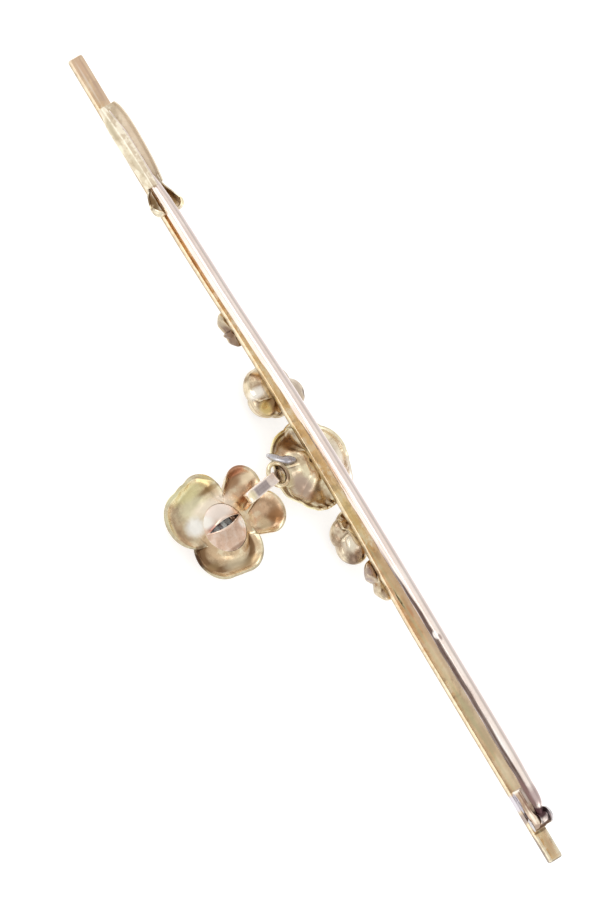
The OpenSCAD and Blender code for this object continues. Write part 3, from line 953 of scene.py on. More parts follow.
@dataclass
class BarStrip:
    """The flat strip that all else is soldered to.

    The bow holds how far it is bent sideways, where, and how far to each side
    that reaches; the slit holds the groove's place along and across, and its
    half length. From tips_from on, the right tip's edges get a painted
    highlight and both tips get a painted dark outline.
    """

    length: float = 80.0
    width: float = BAR_WIDTH
    thickness: float = 0.5
    bow: tuple[float, float, float] = (0.42, -2.3, 15.0)
    edge: float = 0.07
    corner: float = 0.24
    slit: Spot = (14.05, -0.27, 0.85)
    slit_depth: float = 0.16
    tips_from: float = 37.5
    # Real stained places, solder and tone, and painted light: painted shade in the slit and round the right tip's end,
    # and painted highlights on the tips' edges and along the back
    stains_and_painted_light: StainsAndPaintedLight = (
        ((29.5, 0, 0.1), (5.0, 3, 0.25), (0.98, 0.78, 0.52), 0.5, 0.3, 0.9),
        ((15.0, 0, 0.1), (5.0, 3, 0.25), (0.80, 0.47, 0.25), 0.5, 0.3, 0.9),
        ((-38.4, 0, 0.1), (3.4, 3, 0.3), (0.87, 0.66, 0.48), 0.6, 0.4, 0.5),
        ((-39.0, -0.2, 0), (1.0, 0.4, 0.3), (0.74, 0.52, 0.38), 0.6, 0.45, 0.9),
        ((-36.0, 0.3, 0), (1.2, 0.4, 0.3), (0.70, 0.52, 0.40), 0.4, 0.4, 0.9),
        ((38.9, 0, 0.1), (2.2, 0.36, 0.25), (0.90, 0.68, 0.42), 0.7, 0.25, 0.6),
        ((38.7, 0, 0), (1.0, 0.3, 0.3), (0.60, 0.40, 0.24), 0.6, 0.3, 1.0),
        ((40.0, 0, -0.25), (0.1, 1.2, 0.5), (0.24, 0.20, 0.17), 0.85, 0.35, 0.6),
        ((38.8, 0.72, -0.1), (1.7, 0.06, 0.5), (0.24, 0.20, 0.17), 0.85, 0.35, 0.6),
        ((38.8, -0.72, -0.4), (1.7, 0.1, 0.24), (0.30, 0.25, 0.22), 0.85, 0.35, 0.6),
        ((37.2, 0.1, 0), (0.12, 0.9, 0.2), (0.16, 0.10, 0.05), 0.8, 0.4, 0.6),
        ((34.1, -0.7, -0.25), (0.8, 0.35, 0.6), (0.72, 0.69, 0.76), 0.9, 0.35, 0.6),
        ((35.6, -0.7, -0.2), (0.5, 0.35, 0.4), (0.35, 0.28, 0.28), 0.8, 0.35, 0.8),
        ((14.05, -0.17, -0.05), (1.0, 0.09, 0.2), (0.07, 0.035, 0.015), 0.95, 0.5, 0.5),
        ((-38.0, 0.25, 0), (2.2, 0.12, 0.3), (0.62, 0.42, 0.31), 0.6, 0.4, 0.9),
        ((-37.5, -0.3, 0), (2.0, 0.1, 0.3), (0.96, 0.83, 0.70), 0.6, 0.4, 0.9),
        ((15.4, 0.05, 0), (0.55, 0.35, 0.4), (0.62, 0.30, 0.15), 0.75, 0.35, 0.9),
        ((6.0, 0.9, 0), (22, 0.3, 0.6), (0.52, 0.34, 0.18), 0.5, 0.3, 0.9),
        ((-14.0, 0.7, 0), (14, 0.3, 0.6), (0.62, 0.44, 0.26), 0.4, 0.3, 0.9),
        ((24.0, 0.5, 0), (12, 0.3, 0.6), (0.60, 0.45, 0.30), 0.5, 0.35, 0.9),
        ((22.0, -0.1, 0), (16, 0.16, 0.2), (0.62, 0.60, 0.36), 0.5, 0.35, 0.9),
        ((25.3, -0.1, 0), (1.8, 0.4, 0.3), (0.62, 0.55, 0.34), 0.6, 0.3, 1.0),
        ((28.2, 0.1, 0), (1.3, 0.4, 0.3), (0.60, 0.48, 0.30), 0.6, 0.3, 1.0),
        ((20.4, -0.1, 0), (2.2, 0.4, 0.3), (0.98, 0.80, 0.54), 0.5, 0.3, 1.0),
        ((31.8, 0, 0), (1.4, 0.4, 0.3), (0.98, 0.84, 0.60), 0.5, 0.3, 1.0),
        ((-1.5, 0.3, 0), (3.0, 0.4, 0.3), (0.90, 0.58, 0.26), 0.5, 0.3, 1.0),
        ((5.5, 0.1, 0), (2.6, 0.4, 0.3), (0.86, 0.66, 0.28), 0.45, 0.3, 1.0),
        ((12.0, 0.2, 0), (2.2, 0.4, 0.3), (0.62, 0.46, 0.26), 0.45, 0.3, 1.0),
        ((-8.0, 0, 0), (3.2, 0.4, 0.3), (0.80, 0.56, 0.26), 0.45, 0.3, 1.0),
    )

    def middle(self, x: Array) -> Array:
        """How far the strip is bent sideways, bow exp(-((x - middle) / reach)^4)."""
        most, centre, reach = self.bow
        return most * np.exp(-(((x - centre) / reach) ** 4))

    def stations(self) -> Array:
        """Where the sections lie along the strip.

        Returns:
            The places in order, closer together at the tips and the groove.
        """
        end, place = self.length / 2, self.slit[0]
        tip = self.edge * (1 - np.cos(np.linspace(0, np.pi / 2, 5)))
        wide = tip * self.corner / self.edge
        near = np.linspace(place - 1.3, place + 1.3, 61)
        even = np.linspace(-end, end, 301)
        return np.unique(np.concatenate([even, near, -end + tip, end - tip, -end + wide, end - wide]))

    def shell(self) -> Shell:
        """A rounded box carried along the bent middle line.

        Near the tips the box's height and width shrink as quarter circles do,
        and a short groove is pressed into the back. Its marks paint shade in the
        groove, along the foot of the near side and on the tips, and paint
        highlights on the near side, along the far top edge and on the right tip's edges.

        Returns:
            The strip, with its marks.
        """
        x = self.stations()
        left = self.length / 2 - np.abs(x)
        draw, turn_in = (r - np.sqrt(np.maximum(r**2 - np.maximum(r - left, 0) ** 2, 0))
                         for r in (self.edge, self.corner))
        half = np.array([self.width / 2, self.thickness / 2])
        shrink = 1 - columns(np.maximum(draw, turn_in), draw) / half
        box = rounded_box(self.width, self.thickness, self.edge, 24, 5)
        centred = box - np.array([0, half[1]])
        shape = centred[None] * shrink[:, None] + np.array([0, half[1]])
        path = columns(x, LAYOUT.bar_y + self.middle(x), LAYOUT.rise)
        grid = path[:, None] + columns(0, shape[..., 0], shape[..., 1])
        across = shape[..., 0] - self.slit[1] - 0.04 * (grid[..., 0] - self.slit[0])
        along = eased(self.slit[2] - np.abs(grid[..., 0] - self.slit[0]), 0, 0.5)
        groove = bell(across, 0.055) * along * (shape[..., 1] > self.thickness * 0.9)
        grid[..., 2] -= self.slit_depth * groove
        under = (shape[..., 0] < -self.width / 2 + 0.02) * np.ones(grid.shape[:2])
        rise = shape[..., 1] / self.thickness
        # Painted reflection of the pale floor on the near side
        pale = under * eased(rise, 0.25, 0.6) * (1 - eased(rise, 0.97, 1.0))
        # Painted shadow along the foot of the near side
        foot = under * (1 - eased(rise, 0.2, 0.42))
        # The very ends are painted darker as shade
        tips = 1 - eased(left[:, None], 0.05, 0.35) * np.ones(grid.shape[:2])
        inset = np.minimum(self.width / 2 - np.abs(shape[..., 0]), left[:, None])
        # Painted highlights along the right tip's edges and along the far top edge
        sides = bell(inset - 0.13, 0.09) * (grid[..., 0] > self.tips_from)
        far_edge_highlight = 0.6 * bell(shape[..., 0] - 0.6, 0.08) * (rise > 0.9) * eased(grid[..., 0], 6, 16)
        # Painted shade as a dark outline round both tips
        tip_dark_outline = bell(inset - 0.04, 0.06) * (np.abs(grid[..., 0]) > self.tips_from)
        # The groove is painted dark as shade
        marks = {"band": np.clip(groove + foot + 0.75 * tip_dark_outline + 0.4 * tips, 0, 1),
                 "rim": np.clip(pale * 0.8 + sides + far_edge_highlight, 0, 1),
                 "tone": eased(shape[..., 0], -0.2, 0.65) * 0.6}
        return closed_grid(grid, marks)

    def build(self) -> bpy.types.Object:
        """The finished strip."""
        finish = Finishes.BAR.material("bar", patches(self.stains_and_painted_light, z=LAYOUT.back))
        return Piece("bar_strip", Body.BROOCH, "bar_gold", ("bar",), (finish,)).make([self.shell()])


@dataclass
class CatchLeaf:
    """The leaf-shaped catch, bent from one sheet, with a scroll on each side of its mouth.

    A row of the leaf holds the place from closed end to mouth, the reach of the
    near bulge, the height of the crest, and the reach and height of the far lip.
    A scroll's row is told at scroll, and a roll's holds x past the mouth, y, h
    and radius. The near lower edge of the bar is bar_edge.
    """

    mouth: float = -27.0
    length: float = 8.1
    sheet: float = 0.15
    bulge_h: float = 0.5
    foot: float = 0.82
    floor: float = 0.37
    rows: Rows = (
        (0, 1.04, 0.98, 0.76, 0.56), (0.08, 1.24, 1.30, 0.98, 0.70), (0.22, 1.50, 1.64, 1.10, 0.78),
        (0.42, 1.50, 1.86, 1.12, 0.80), (0.62, 1.42, 1.88, 1.08, 0.78), (0.80, 1.32, 1.84, 1.00, 0.74),
        (0.92, 1.24, 1.83, 0.88, 0.71), (1, 1.18, 1.80, 0.80, 0.68))
    mouth_round: float = 0.035
    bar_edge: tuple[float, float] = (-0.685, -0.5)
    far_scroll: Rows = (
        (-0.8, 0.18, 0.15, 0.56, 0.13, 0.68, 0.52), (0.0, 0.18, 0.15, 0.57, 0.13, 0.69, 0.53),
        (0.5, 0.28, 0.12, 0.70, 0.06, 0.76, 0.66), (1.2, 0.26, 0.14, 0.95, 0.05, 1.00, 0.84),
        (1.8, 0.26, 0.16, 1.15, 0.10, 1.17, 0.98), (2.2, 0.28, 0.22, 1.20, 0.25, 1.16, 0.98),
        (2.5, 0.32, 0.34, 0.98, 0.50, 0.95, 0.80))
    near_scroll: Rows = (
        (-0.8, -1.00, 0.42, -0.80, 0.10, -0.50, 0.15), (0.0, -1.01, 0.42, -0.81, 0.10, -0.50, 0.15),
        (0.4, -1.16, 0.26, -1.12, -0.10, -0.58, 0.10), (1.1, -1.40, 0.14, -1.30, -0.28, -0.55, 0.10),
        (1.7, -1.50, 0.10, -1.35, -0.34, -0.55, 0.12), (2.2, -1.40, 0.12, -1.20, -0.26, -0.58, 0.16),
        (2.45, -1.18, 0.16, -1.00, -0.02, -0.64, 0.22))
    far_roll: Rows = (
        (1.9, 1.15, 0.97, 0.10), (2.15, 1.12, 0.96, 0.16), (2.42, 1.00, 0.86, 0.19), (2.57, 0.72, 0.62, 0.18),
        (2.50, 0.40, 0.40, 0.15))
    near_roll: Rows = (
        (1.5, -1.32, 0.04, 0.15), (1.98, -1.26, 0.24, 0.27), (2.28, -1.02, 0.32, 0.30), (2.35, -0.80, 0.30, 0.20))
    # Painted light: a paler far lip and floor where shade would fall, painted shade on the lower near wall, at the
    # mouth and inside the scrolls, and painted highlights on the scrolls' knobs
    stains_and_painted_light: StainsAndPaintedLight = (
        ((-31.4, 0.75, 0.55), (3.6, 0.5, 0.5), (0.92, 0.80, 0.64), 0.8, 0.5, 0.8),
        ((-31.0, -1.1, 0.1), (4.5, 0.5, 0.28), (0.52, 0.46, 0.34), 0.75, 0.45, 0.9),
        ((-33.0, -1.3, 0.85), (0.9, 0.4, 0.22), (0.55, 0.48, 0.34), 0.7, 0.45, 0.9),
        ((-29.2, -1.1, 1.15), (1.1, 0.4, 0.2), (0.58, 0.50, 0.36), 0.6, 0.45, 0.9),
        ((-26.98, -0.8, 0.9), (0.16, 0.7, 1.1), (0.30, 0.19, 0.11), 0.6, 0.4, 0.8),
        ((-25.7, 0.8, 0.35), (1.1, 0.5, 0.4), (0.32, 0.19, 0.07), 0.95, 0.35, 0.8),
        ((-26, -1.1, -0.05), (1.1, 0.6, 0.42), (0.20, 0.12, 0.05), 0.95, 0.35, 0.9),
        ((-25.7, -1.3, 0.12), (0.16, 0.3, 0.16), (0.95, 0.85, 0.62), 0.9, 0.2, 0.9),
        ((-25, -1.1, 0.45), (0.3, 0.3, 0.25), (0.98, 0.88, 0.66), 0.8, 0.2, 0.9),
        ((-24.75, 1.1, 1), (0.5, 0.3, 0.22), (0.98, 0.88, 0.60), 0.9, 0.2, 0.9),
    )

    def leaf(self) -> Shell:
        """The bent sheet.

        Its middle line goes from the crest down the near wall, along the floor
        and up the far lip. The line is rounded by a moving mean, and the sheet
        lies half its thickness to each side, less at its two edges.

        Returns:
            The sheet as a closed shell.
        """
        share, bulge, crest, lip, lip_h = smooth(self.rows, 81).T
        x = self.mouth - self.length + share * self.length
        top = stem_y(x) - 0.52 - self.sheet / 2
        fold = top - 0.34 * (bulge + top)
        half = self.sheet / 2
        even = np.ones_like(x)
        y = np.stack([top, fold + 0.02, -bulge + half, -self.foot * even, -0.3 * even, self.floor * even,
                      self.floor + 0.8 * (lip - self.floor), lip - half], axis=1)
        h = np.stack([crest - 0.02, crest * 0.76, self.bulge_h * even, half * even, half * even, half * even,
                      lip_h * 0.42, lip_h - 0.03], axis=1)
        steps = np.linspace(0, y.shape[1] - 1, 92)
        i = np.clip(steps.astype(int), 0, y.shape[1] - 2)
        t = steps - i
        line = np.stack([v[:, i] * (1 - t) + v[:, i + 1] * t for v in (y, h)], axis=-1)
        for _ in range(7):
            line[:, 1:-1] = 0.25 * line[:, :-2] + 0.5 * line[:, 1:-1] + 0.25 * line[:, 2:]
        ends = np.linspace(-1, 1, line.shape[1])
        loop = sheeted(line, half * np.sqrt(np.clip(1 - np.clip((np.abs(ends) - 0.965) / 0.035, 0, 0.985) ** 2, 0, 1)))
        reach = share[:, None] * (1 - self.mouth_round * np.clip(1 - loop[..., 1] / crest[:, None], 0, 1) ** 2)
        grid = LAYOUT.over(self.mouth - self.length + reach * self.length, loop[..., 0], loop[..., 1])
        rows, cols = grid.shape[:2]
        j = np.arange(cols // 2 - 1)
        start = columns(j, cols - 1 - j, cols - 2 - j, j + 1)
        end = start[:, ::-1] + (rows - 1) * cols
        quads = np.concatenate([lattice(rows, cols), start, end])
        return Shell(grid.reshape(-1, 3), quads).outward()

    def scroll(self, rows: Rows) -> Shell:
        """One scroll, a cupped strip.

        A section is the curve (1 - v)^2 a + 2 v (1 - v) b + v^2 c between its
        edges a and c, with the pull b, and the strip lies half the sheet to
        each side of it, less at its edges. Points go out along one side and
        come back along the other.

        Args:
            rows: place past the mouth, then a, b and c, each across and up.

        Returns:
            The strip as a closed shell.
        """
        table = smooth(rows, 60)
        v = np.linspace(0, 1, 26)
        a, b, c = (table[:, None, k:k + 2] for k in (1, 3, 5))
        share = v[None, :, None]
        line = (1 - share) ** 2 * a + 2 * share * (1 - share) * b + share**2 * c
        thin = np.sqrt(np.clip(1 - np.clip(np.abs(2 * v - 1) - 0.92, 0, 0.078) ** 2 / 0.0064, 0, 1))
        loop = sheeted(line, -self.sheet / 2 * thin)
        return closed_grid(LAYOUT.over(self.mouth + table[:, :1], loop[..., 0], loop[..., 1]))

    def roll(self, rows: Rows) -> Shell:
        """The rolled end of a scroll, a bent wire.

        Args:
            rows: place past the mouth, across and up, and radius.

        Returns:
            The wire as a closed shell.
        """
        table = np.asarray(rows)
        placed = LAYOUT.over(self.mouth + table[:, 0], table[:, 1], table[:, 2])
        return wire(np.concatenate([placed, table[:, 3:]], axis=1).tolist(), (1, 0.3, 0.2), 48)

    def paint(self, points: Array) -> Marks:
        """Marks the upper part of the near wall and the inside, which are tan and matt, painted highlight lines along
        the near wall, and painted shade on the near wall.

        Args:
            points: the fused piece's points.

        Returns:
            Values of the marks at the points.
        """
        x, y, h = points[:, 0], points[:, 1] - LAYOUT.bar_y, points[:, 2] - LAYOUT.back
        share = (x - self.mouth + self.length) / self.length
        crest = np.interp(share, [r[0] for r in self.rows], [r[2] for r in self.rows])
        high = eased(h - crest * 0.74, -0.03, 0.03)
        far = eased(y, -0.7, -0.6)
        inside = np.maximum(high, far) * (x < self.mouth + 0.05)
        # Painted highlight: pale lines along the near wall
        line = bell(h - crest * 0.72, 0.07) * (y < -0.75) + bell(h - self.bulge_h, 0.05) * (y < -0.95) * 0.4
        # Painted shade: a dark fold line, a wavy dark line and a dark spot on the near wall
        across = seen_height(y - self.bar_edge[0], h - self.bar_edge[1])
        fold = bell(across - 0.26 - 0.25 * (x + 29.75), 0.05) * eased(x, -30.2, -29.2)
        shade = bell(across - 0.36 + 0.03 * np.sin(3 * x), 0.09) * (1 - eased(x, -29.8, -29.0)) * 0.6
        dark = bell(h - crest * 0.5, 0.06) * bell(x + 32.6, 1.1) + fold + shade
        dark *= (y < -0.8) * (x < self.mouth)
        return {"tone": inside * 0.9, "rim": line * (x < self.mouth), "band": dark * 0.7}

    def build(self) -> bpy.types.Object:
        """The leaf and its scrolls as one piece.

        Returns:
            The finished catch.
        """
        finish = Finishes.GREEN.material("catch", patches(self.stains_and_painted_light, z=LAYOUT.back))
        piece = Piece("catch_leaf", Body.BROOCH, "green_gold", ("catch_sheath",), (finish,))
        scrolls = [self.scroll(rows) for rows in (self.far_scroll, self.near_scroll)]
        rolls = [self.roll(rows) for rows in (self.far_roll, self.near_roll)]
        return piece.make([self.leaf(), *scrolls, *rolls], self.paint)


@dataclass
class PinStem:
    """The bowed pin stem with its point and its knuckle.

    A row holds the place along the bar, the height above its back and the
    radius. The tip holds the place and height of the stem's end, and the eye the
    knuckle's middle, along, across and up; the knuckle has an outer radius, a
    bore and a width.
    """

    rows: Rows = (
        (-27.8, 0.60, 0.41), (-26.3, 0.70, 0.51), (-24.5, 0.81, 0.57), (-20, 0.95, 0.598), (-15, 1.14, 0.598),
        (-10, 1.46, 0.598), (-5, 1.76, 0.598), (0, 1.90, 0.598), (10, 1.98, 0.598), (20, 1.90, 0.598),
        (29, 1.82, 0.598), (32.5, 1.72, 0.55), (34.5, 1.64, 0.49), (35.3, 1.38, 0.38), (35.82, 1.17, 0.34))
    tip: tuple[float, float] = (STEM_TIP[0], 0.56)
    tip_r: float = 0.36
    point: float = 2.2
    eye: tuple[float, float, float] = (36.2, 0.09, 1.0)
    knuckle: tuple[float, float, float] = (0.52, 0.29, 0.88)
    # Painted light on the stem: highlights near x 18 and 29, small dark and mauve marks, and painted shade over the
    # taper and the knuckle's recess
    stains_and_painted_light: StainsAndPaintedLight = (
        ((18.2, -0.42, 2.3), (0.4, 0.25, 0.28), (0.98, 0.90, 0.84), 0.95, 0.2, 0.7),
        ((18.5, -0.3, 2.45), (0.3, 0.12, 0.1), (0.34, 0.25, 0.23), 0.8, 0.3, 0.8),
        ((29.3, -0.3, 2.26), (1.3, 0.2, 0.14), (0.98, 0.92, 0.88), 0.8, 0.2, 1.0),
        ((33.9, -0.45, 1.75), (1.5, 0.35, 0.4), (0.22, 0.13, 0.12), 0.85, 0.3, 0.9),
        ((34.5, 0.1, 2.1), (1.1, 0.5, 0.3), (0.50, 0.38, 0.37), 0.85, 0.3, 0.9),
        ((35.75, 0.05, 1.1), (0.72, 0.8, 0.75), (0.07, 0.03, 0.035), 0.97, 0.35, 0.4),
    )

    def shaft(self) -> Shell:
        """The round shaft: a circle carried along the bowed line, which narrows to a point.

        Returns:
            The shaft as a closed shell.
        """
        bowed = smooth(self.rows, 260)
        start_x, start_h = bowed[0, 0], bowed[0, 1]
        gone = np.concatenate([[0.0, 0.002, 0.006], np.linspace(0.02, 0.3, 16), [0.305, 0.33, 0.5, 0.7, 0.9, 0.98]])
        share = 1 - gone
        x = start_x + share * (self.tip[0] - start_x)
        h = start_h + share * (self.tip[1] - start_h)
        left = (1 - share) * (start_x - self.tip[0])
        radius = 0.05 + (self.tip_r - 0.05) * np.clip(left / self.point, 0, 1)
        radius *= np.sqrt(np.clip(left / 0.06, 0.02, 1))
        table = np.concatenate([columns(x, h, radius), bowed])
        path = LAYOUT.over(table[:, 0], stem_y(table[:, 0]), table[:, 1])
        return closed_grid(carried(circle(40)[None] * table[:, 2][:, None, None], path, np.array([0.0, 1.0, 0.0])))

    def eyelet(self) -> Shell:
        """The knuckle: a rounded box turned round the rivet's axis."""
        outer, bore, width = self.knuckle
        return turned(rounded_box(width, outer - bore, 0.05, 4, 4) + [0, bore], LAYOUT.over(*self.eye), 72, ring=True)

    def paint(self, points: Array) -> Marks:
        """Marks painted reflections: a painted dark reflection of the hinge end along the lower side, a painted mauve
        reflection on the upper side with thin painted lines, and a painted highlight.

        Args:
            points: the fused piece's points.

        Returns:
            Values of the marks at the points.
        """
        x = points[:, 0]
        rows = smooth(self.rows, 200)
        centre = np.interp(x, rows[:, 0], rows[:, 1]) + LAYOUT.back
        middle = stem_y(x) + LAYOUT.bar_y
        radius = np.interp(x, rows[:, 0], rows[:, 2])
        height = seen_height(points[:, 1] - middle, points[:, 2] - centre) / radius
        right = eased(x, 7.0, 13.0)
        wavy = height + 0.04 * np.sin(x * 0.7) + 0.03 * np.sin(x * 2.3)
        top = -0.6 + 0.5 * eased(x, 9.0, 20.0)
        # Painted dark reflection along the lower side, from x 7 towards the hinge
        low = eased(wavy, -1.05, -0.8) * (1 - eased(wavy, top - 0.2, top)) * right
        # Painted lines and a mauve painted reflection along the top, and a painted highlight on the right part
        line = bell(height - 0.12 - 0.05 * np.sin(x * 0.5), 0.13) * (1 - right) * 0.5
        high = bell(height - 0.84, 0.2)
        reflection_line = bell(height - 0.55, 0.06) * 0.5
        return {"band": low + line * 0.3, "tone": np.clip(high * 0.8 + line + reflection_line, 0, 1),
                "rim": 0.3 * bell(height - 0.3, 0.16) * right}

    def build(self) -> bpy.types.Object:
        """The shaft and the knuckle as one piece.

        Returns:
            The finished stem.
        """
        finish = Finishes.ROSE.material("stem", patches(self.stains_and_painted_light, z=LAYOUT.back))
        piece = Piece("pin_shaft", Body.PIN, "rose_gold", ("pin_stem",), (finish,), crease=50)
        return piece.make([self.shaft(), self.eyelet()], self.paint)


@dataclass
class HingeSeat:
    """The hinge's plate with its two ears and the solder that holds it.

    The plate runs between two places along the bar. The centre is the middle
    between the ears, at the far ear's round top, and the wall's line holds its
    corners, along from that middle and up from the bar's back.
    """

    plate: tuple[float, float] = (33.1, 37.05)
    plate_t: float = 0.28
    centre: tuple[float, float, float] = (36.2, 0.09, 1.1)
    ear_r: float = 0.78
    ear_t: float = 0.18
    gap: float = 0.98
    foot: float = 0.06
    wall_line: Rows = (
        (-3.05, 0.05), (0.72, 0.05), (0.72, 0.75), (0.45, 1.14), (0.15, 1.3), (-0.25, 1.3), (-0.75, 1.12),
        (-3.05, 1.14))
    # Real lavender solder on the plate, and painted light: painted shade in the knuckle's recess, at the plate's end
    # and along the wall's top, and painted highlights on the wall
    stains_and_painted_light: StainsAndPaintedLight = (
        ((35.4, -0.5, 0.2), (0.34, 0.3, 0.12), (0.10, 0.06, 0.06), 0.9, 0.4, 0.6),
        ((36.1, 0.09, 1), (0.9, 0.42, 0.9), (0.12, 0.07, 0.05), 0.9, 0.4, 0.6),
        ((33.9, -0.1, 0.3), (0.8, 0.7, 0.1), (0.72, 0.62, 0.58), 0.8, 0.3, 0.9),
        ((37.0, 0, 0.1), (0.15, 0.8, 0.4), (0.18, 0.10, 0.05), 0.8, 0.4, 0.8),
        ((34.0, -0.6, 0.1), (0.9, 0.2, 0.3), (0.72, 0.69, 0.75), 0.9, 0.35, 0.6),
        ((35.75, -0.6, 0.12), (0.5, 0.2, 0.2), (0.12, 0.08, 0.08), 0.9, 0.35, 0.6),
        ((34.9, -0.6, 0.62), (0.45, 0.2, 0.12), (0.34, 0.24, 0.16), 0.8, 0.35, 0.8),
        ((34.3, -0.55, 1), (1.5, 0.2, 0.12), (0.24, 0.14, 0.10), 0.95, 0.35, 0.8),
        ((35.9, -0.55, 0.85), (0.6, 0.2, 0.2), (0.98, 0.88, 0.74), 0.8, 0.3, 0.9),
        ((36.75, -0.55, 0.6), (0.22, 0.2, 0.7), (0.36, 0.26, 0.20), 0.8, 0.35, 0.8),
        ((33.15, -0.5, 0.7), (0.2, 0.3, 0.7), (1.0, 0.95, 0.86), 0.8, 0.25, 0.9),
    )

    def base(self) -> Shell:
        """The plate, a slab with rounded edges.

        Returns:
            The plate as a closed shell.
        """
        half = self.gap / 2 + self.ear_t
        box = rounded_box(self.plate[1] - self.plate[0], 2 * half, 0.1, 12, 4) - np.array([0, half])
        middle = (self.plate[0] + self.plate[1]) / 2
        return slab(box, self.plate_t, 0.04,
                    lambda a, b, c: LAYOUT.over(a + middle, b + self.centre[1], c + self.plate_t / 2))

    def ear(self) -> Shell:
        """The far ear, a slab whose outline is a half circle on a straight foot.

        Returns:
            The ear as a closed shell.
        """
        x, y, h = self.centre
        turn = np.linspace(0, np.pi, 40)
        arc = columns(self.ear_r * np.cos(turn), h + self.ear_r * np.sin(turn))
        rise = np.linspace(h, self.foot, 12)[1:]
        left = columns(-self.ear_r, rise)
        base = columns(np.linspace(-self.ear_r, self.ear_r, 12)[1:-1], self.foot)
        outline = np.concatenate([arc, left, base, left[::-1] * np.array([-1, 1])])
        place = y + (self.gap + self.ear_t) / 2
        return slab(outline, self.ear_t, 0.05, lambda a, b, c: LAYOUT.over(a + x, c + place, b))

    def wall(self) -> Shell:
        """The near ear, a long low wall: the outline in fine steps, drawn in at both faces.

        Each corner of the outline is rounded by a moving mean of the steps,
        and the middle that its rings shrink to is a line along the wall.

        Returns:
            The wall as a closed shell.
        """
        corners = np.asarray(self.wall_line)
        ends = np.roll(corners, -1, 0)
        count = np.maximum((np.linalg.norm(ends - corners, axis=1) / 0.06).astype(int), 3)
        line = np.concatenate([np.linspace(a, b, n, endpoint=False) for a, b, n in zip(corners, ends, count)])
        for _ in range(3):
            line = 0.25 * np.roll(line, 1, 0) + 0.5 * line + 0.25 * np.roll(line, -1, 0)
        inset, depth = drawn_in(self.ear_t, 0.06, 0.45)
        ahead = unit(np.roll(line, -1, 0) - np.roll(line, 1, 0))
        shape = line + columns(-ahead[:, 1], ahead[:, 0]) * inset[:, None, None]
        spine = np.clip(line, [-2.6, 0.5], [0.3, 0.65])
        shape = np.where(inset[:, None, None] > 0.4, spine, shape)
        place = self.centre[1] - (self.gap + self.ear_t) / 2
        depths = np.broadcast_to(depth[:, None], shape.shape[:2])
        return closed_grid(LAYOUT.over(shape[..., 0] + self.centre[0], depths + place, shape[..., 1]))

    def mound(self, x: float, y: float, h: float, reach: Spot) -> Shell:
        """A lump of solder, an egg whose radius swells with two waves round it.

        Args:
            x: its place along the bar.
            y: its place across it.
            h: its height above the bar's back.
            reach: its half lengths.

        Returns:
            The lump as a closed shell.
        """
        lean = np.linspace(0.06, np.pi - 0.06, 22)[:, None]
        turn = turns(44)[None]
        swell = 1 + 0.08 * np.sin(3 * turn + 1) * np.sin(lean) + 0.05 * np.sin(5 * turn + 4 * lean)
        egg = columns(np.sin(lean) * np.cos(turn), np.sin(lean) * np.sin(turn), np.cos(lean))
        grid = egg * swell[..., None] * np.asarray(reach)
        return closed_grid(grid + LAYOUT.over(x, y, h))

    def build(self) -> bpy.types.Object:
        """Plate, ears and solder as one piece.

        Returns:
            The finished hinge seat.
        """
        x, across, h = self.centre
        lumps = [self.mound(34.35, -0.6, 0.13, (1.15, 0.085, 0.16)), self.mound(36.38, -0.61, 0.16, (0.6, 0.08, 0.2)),
                 self.mound(35.1, across + 0.66, 0.24, (0.6, 0.06, 0.2))]
        far_ear = self.ear()
        for grey_shell in (far_ear, *lumps):
            grey_shell.slot_index = 1
        # Painted shade on the far ear's inner face; the first patch row is painted shade too
        face = ((x + 0.3, across + self.gap / 2, h + 0.1), (0.3, 0.05, 0.36), (0.10, 0.08, 0.08), 0.9, 0.35, 0.4)
        materials = (Finishes.HINGE.material("hinge", patches(self.stains_and_painted_light, z=LAYOUT.back)),
                     Finishes.GREY.material("hinge", patches((self.stains_and_painted_light[0], face), z=LAYOUT.back)))
        piece = Piece("hinge_seat", Body.BROOCH, "green_gold", ("hinge_plate",), materials)
        return piece.make([self.base(), self.wall(), far_ear, *lumps])


@dataclass
class Rivet:
    """The rivet across the ears, flush with the near one and with a low domed head at the far one.

    The head has a radius and a height, and reach is half the ears' outer width.
    """

    centre: tuple[float, float, float] = (36.2, 0.09, 1.0)
    radius: float = 0.24
    head: tuple[float, float] = (0.38, 0.1)
    reach: float = 0.67

    def build(self) -> bpy.types.Object:
        """The rivet: shank and head as one profile, turned round its axis.

        A head's radius falls as the root of 1 - u^2 towards its outer face.

        Returns:
            The finished rivet.
        """
        u = np.linspace(0, 0.97, 8)
        seat, end = self.reach + 0.012, -self.reach + 0.02
        dome = columns(seat + self.head[1] * u, self.head[0] * np.sqrt(1 - u**2))
        neck = np.array([[seat, self.radius], [seat, self.head[0] - 0.01]])
        flush = np.array([[end, 0.02], [end, self.radius - 0.04], [-self.reach + 0.06, self.radius]])
        profile = np.concatenate([flush, [[0, self.radius]], neck, dome])
        finish = Finishes.COPPER.material("rivet")
        piece = Piece("rivet_pin", Body.BROOCH, "copper_gold", ("hinge_rivet",), (finish,))
        return piece.make([turned(profile, LAYOUT.over(*self.centre), 48)])


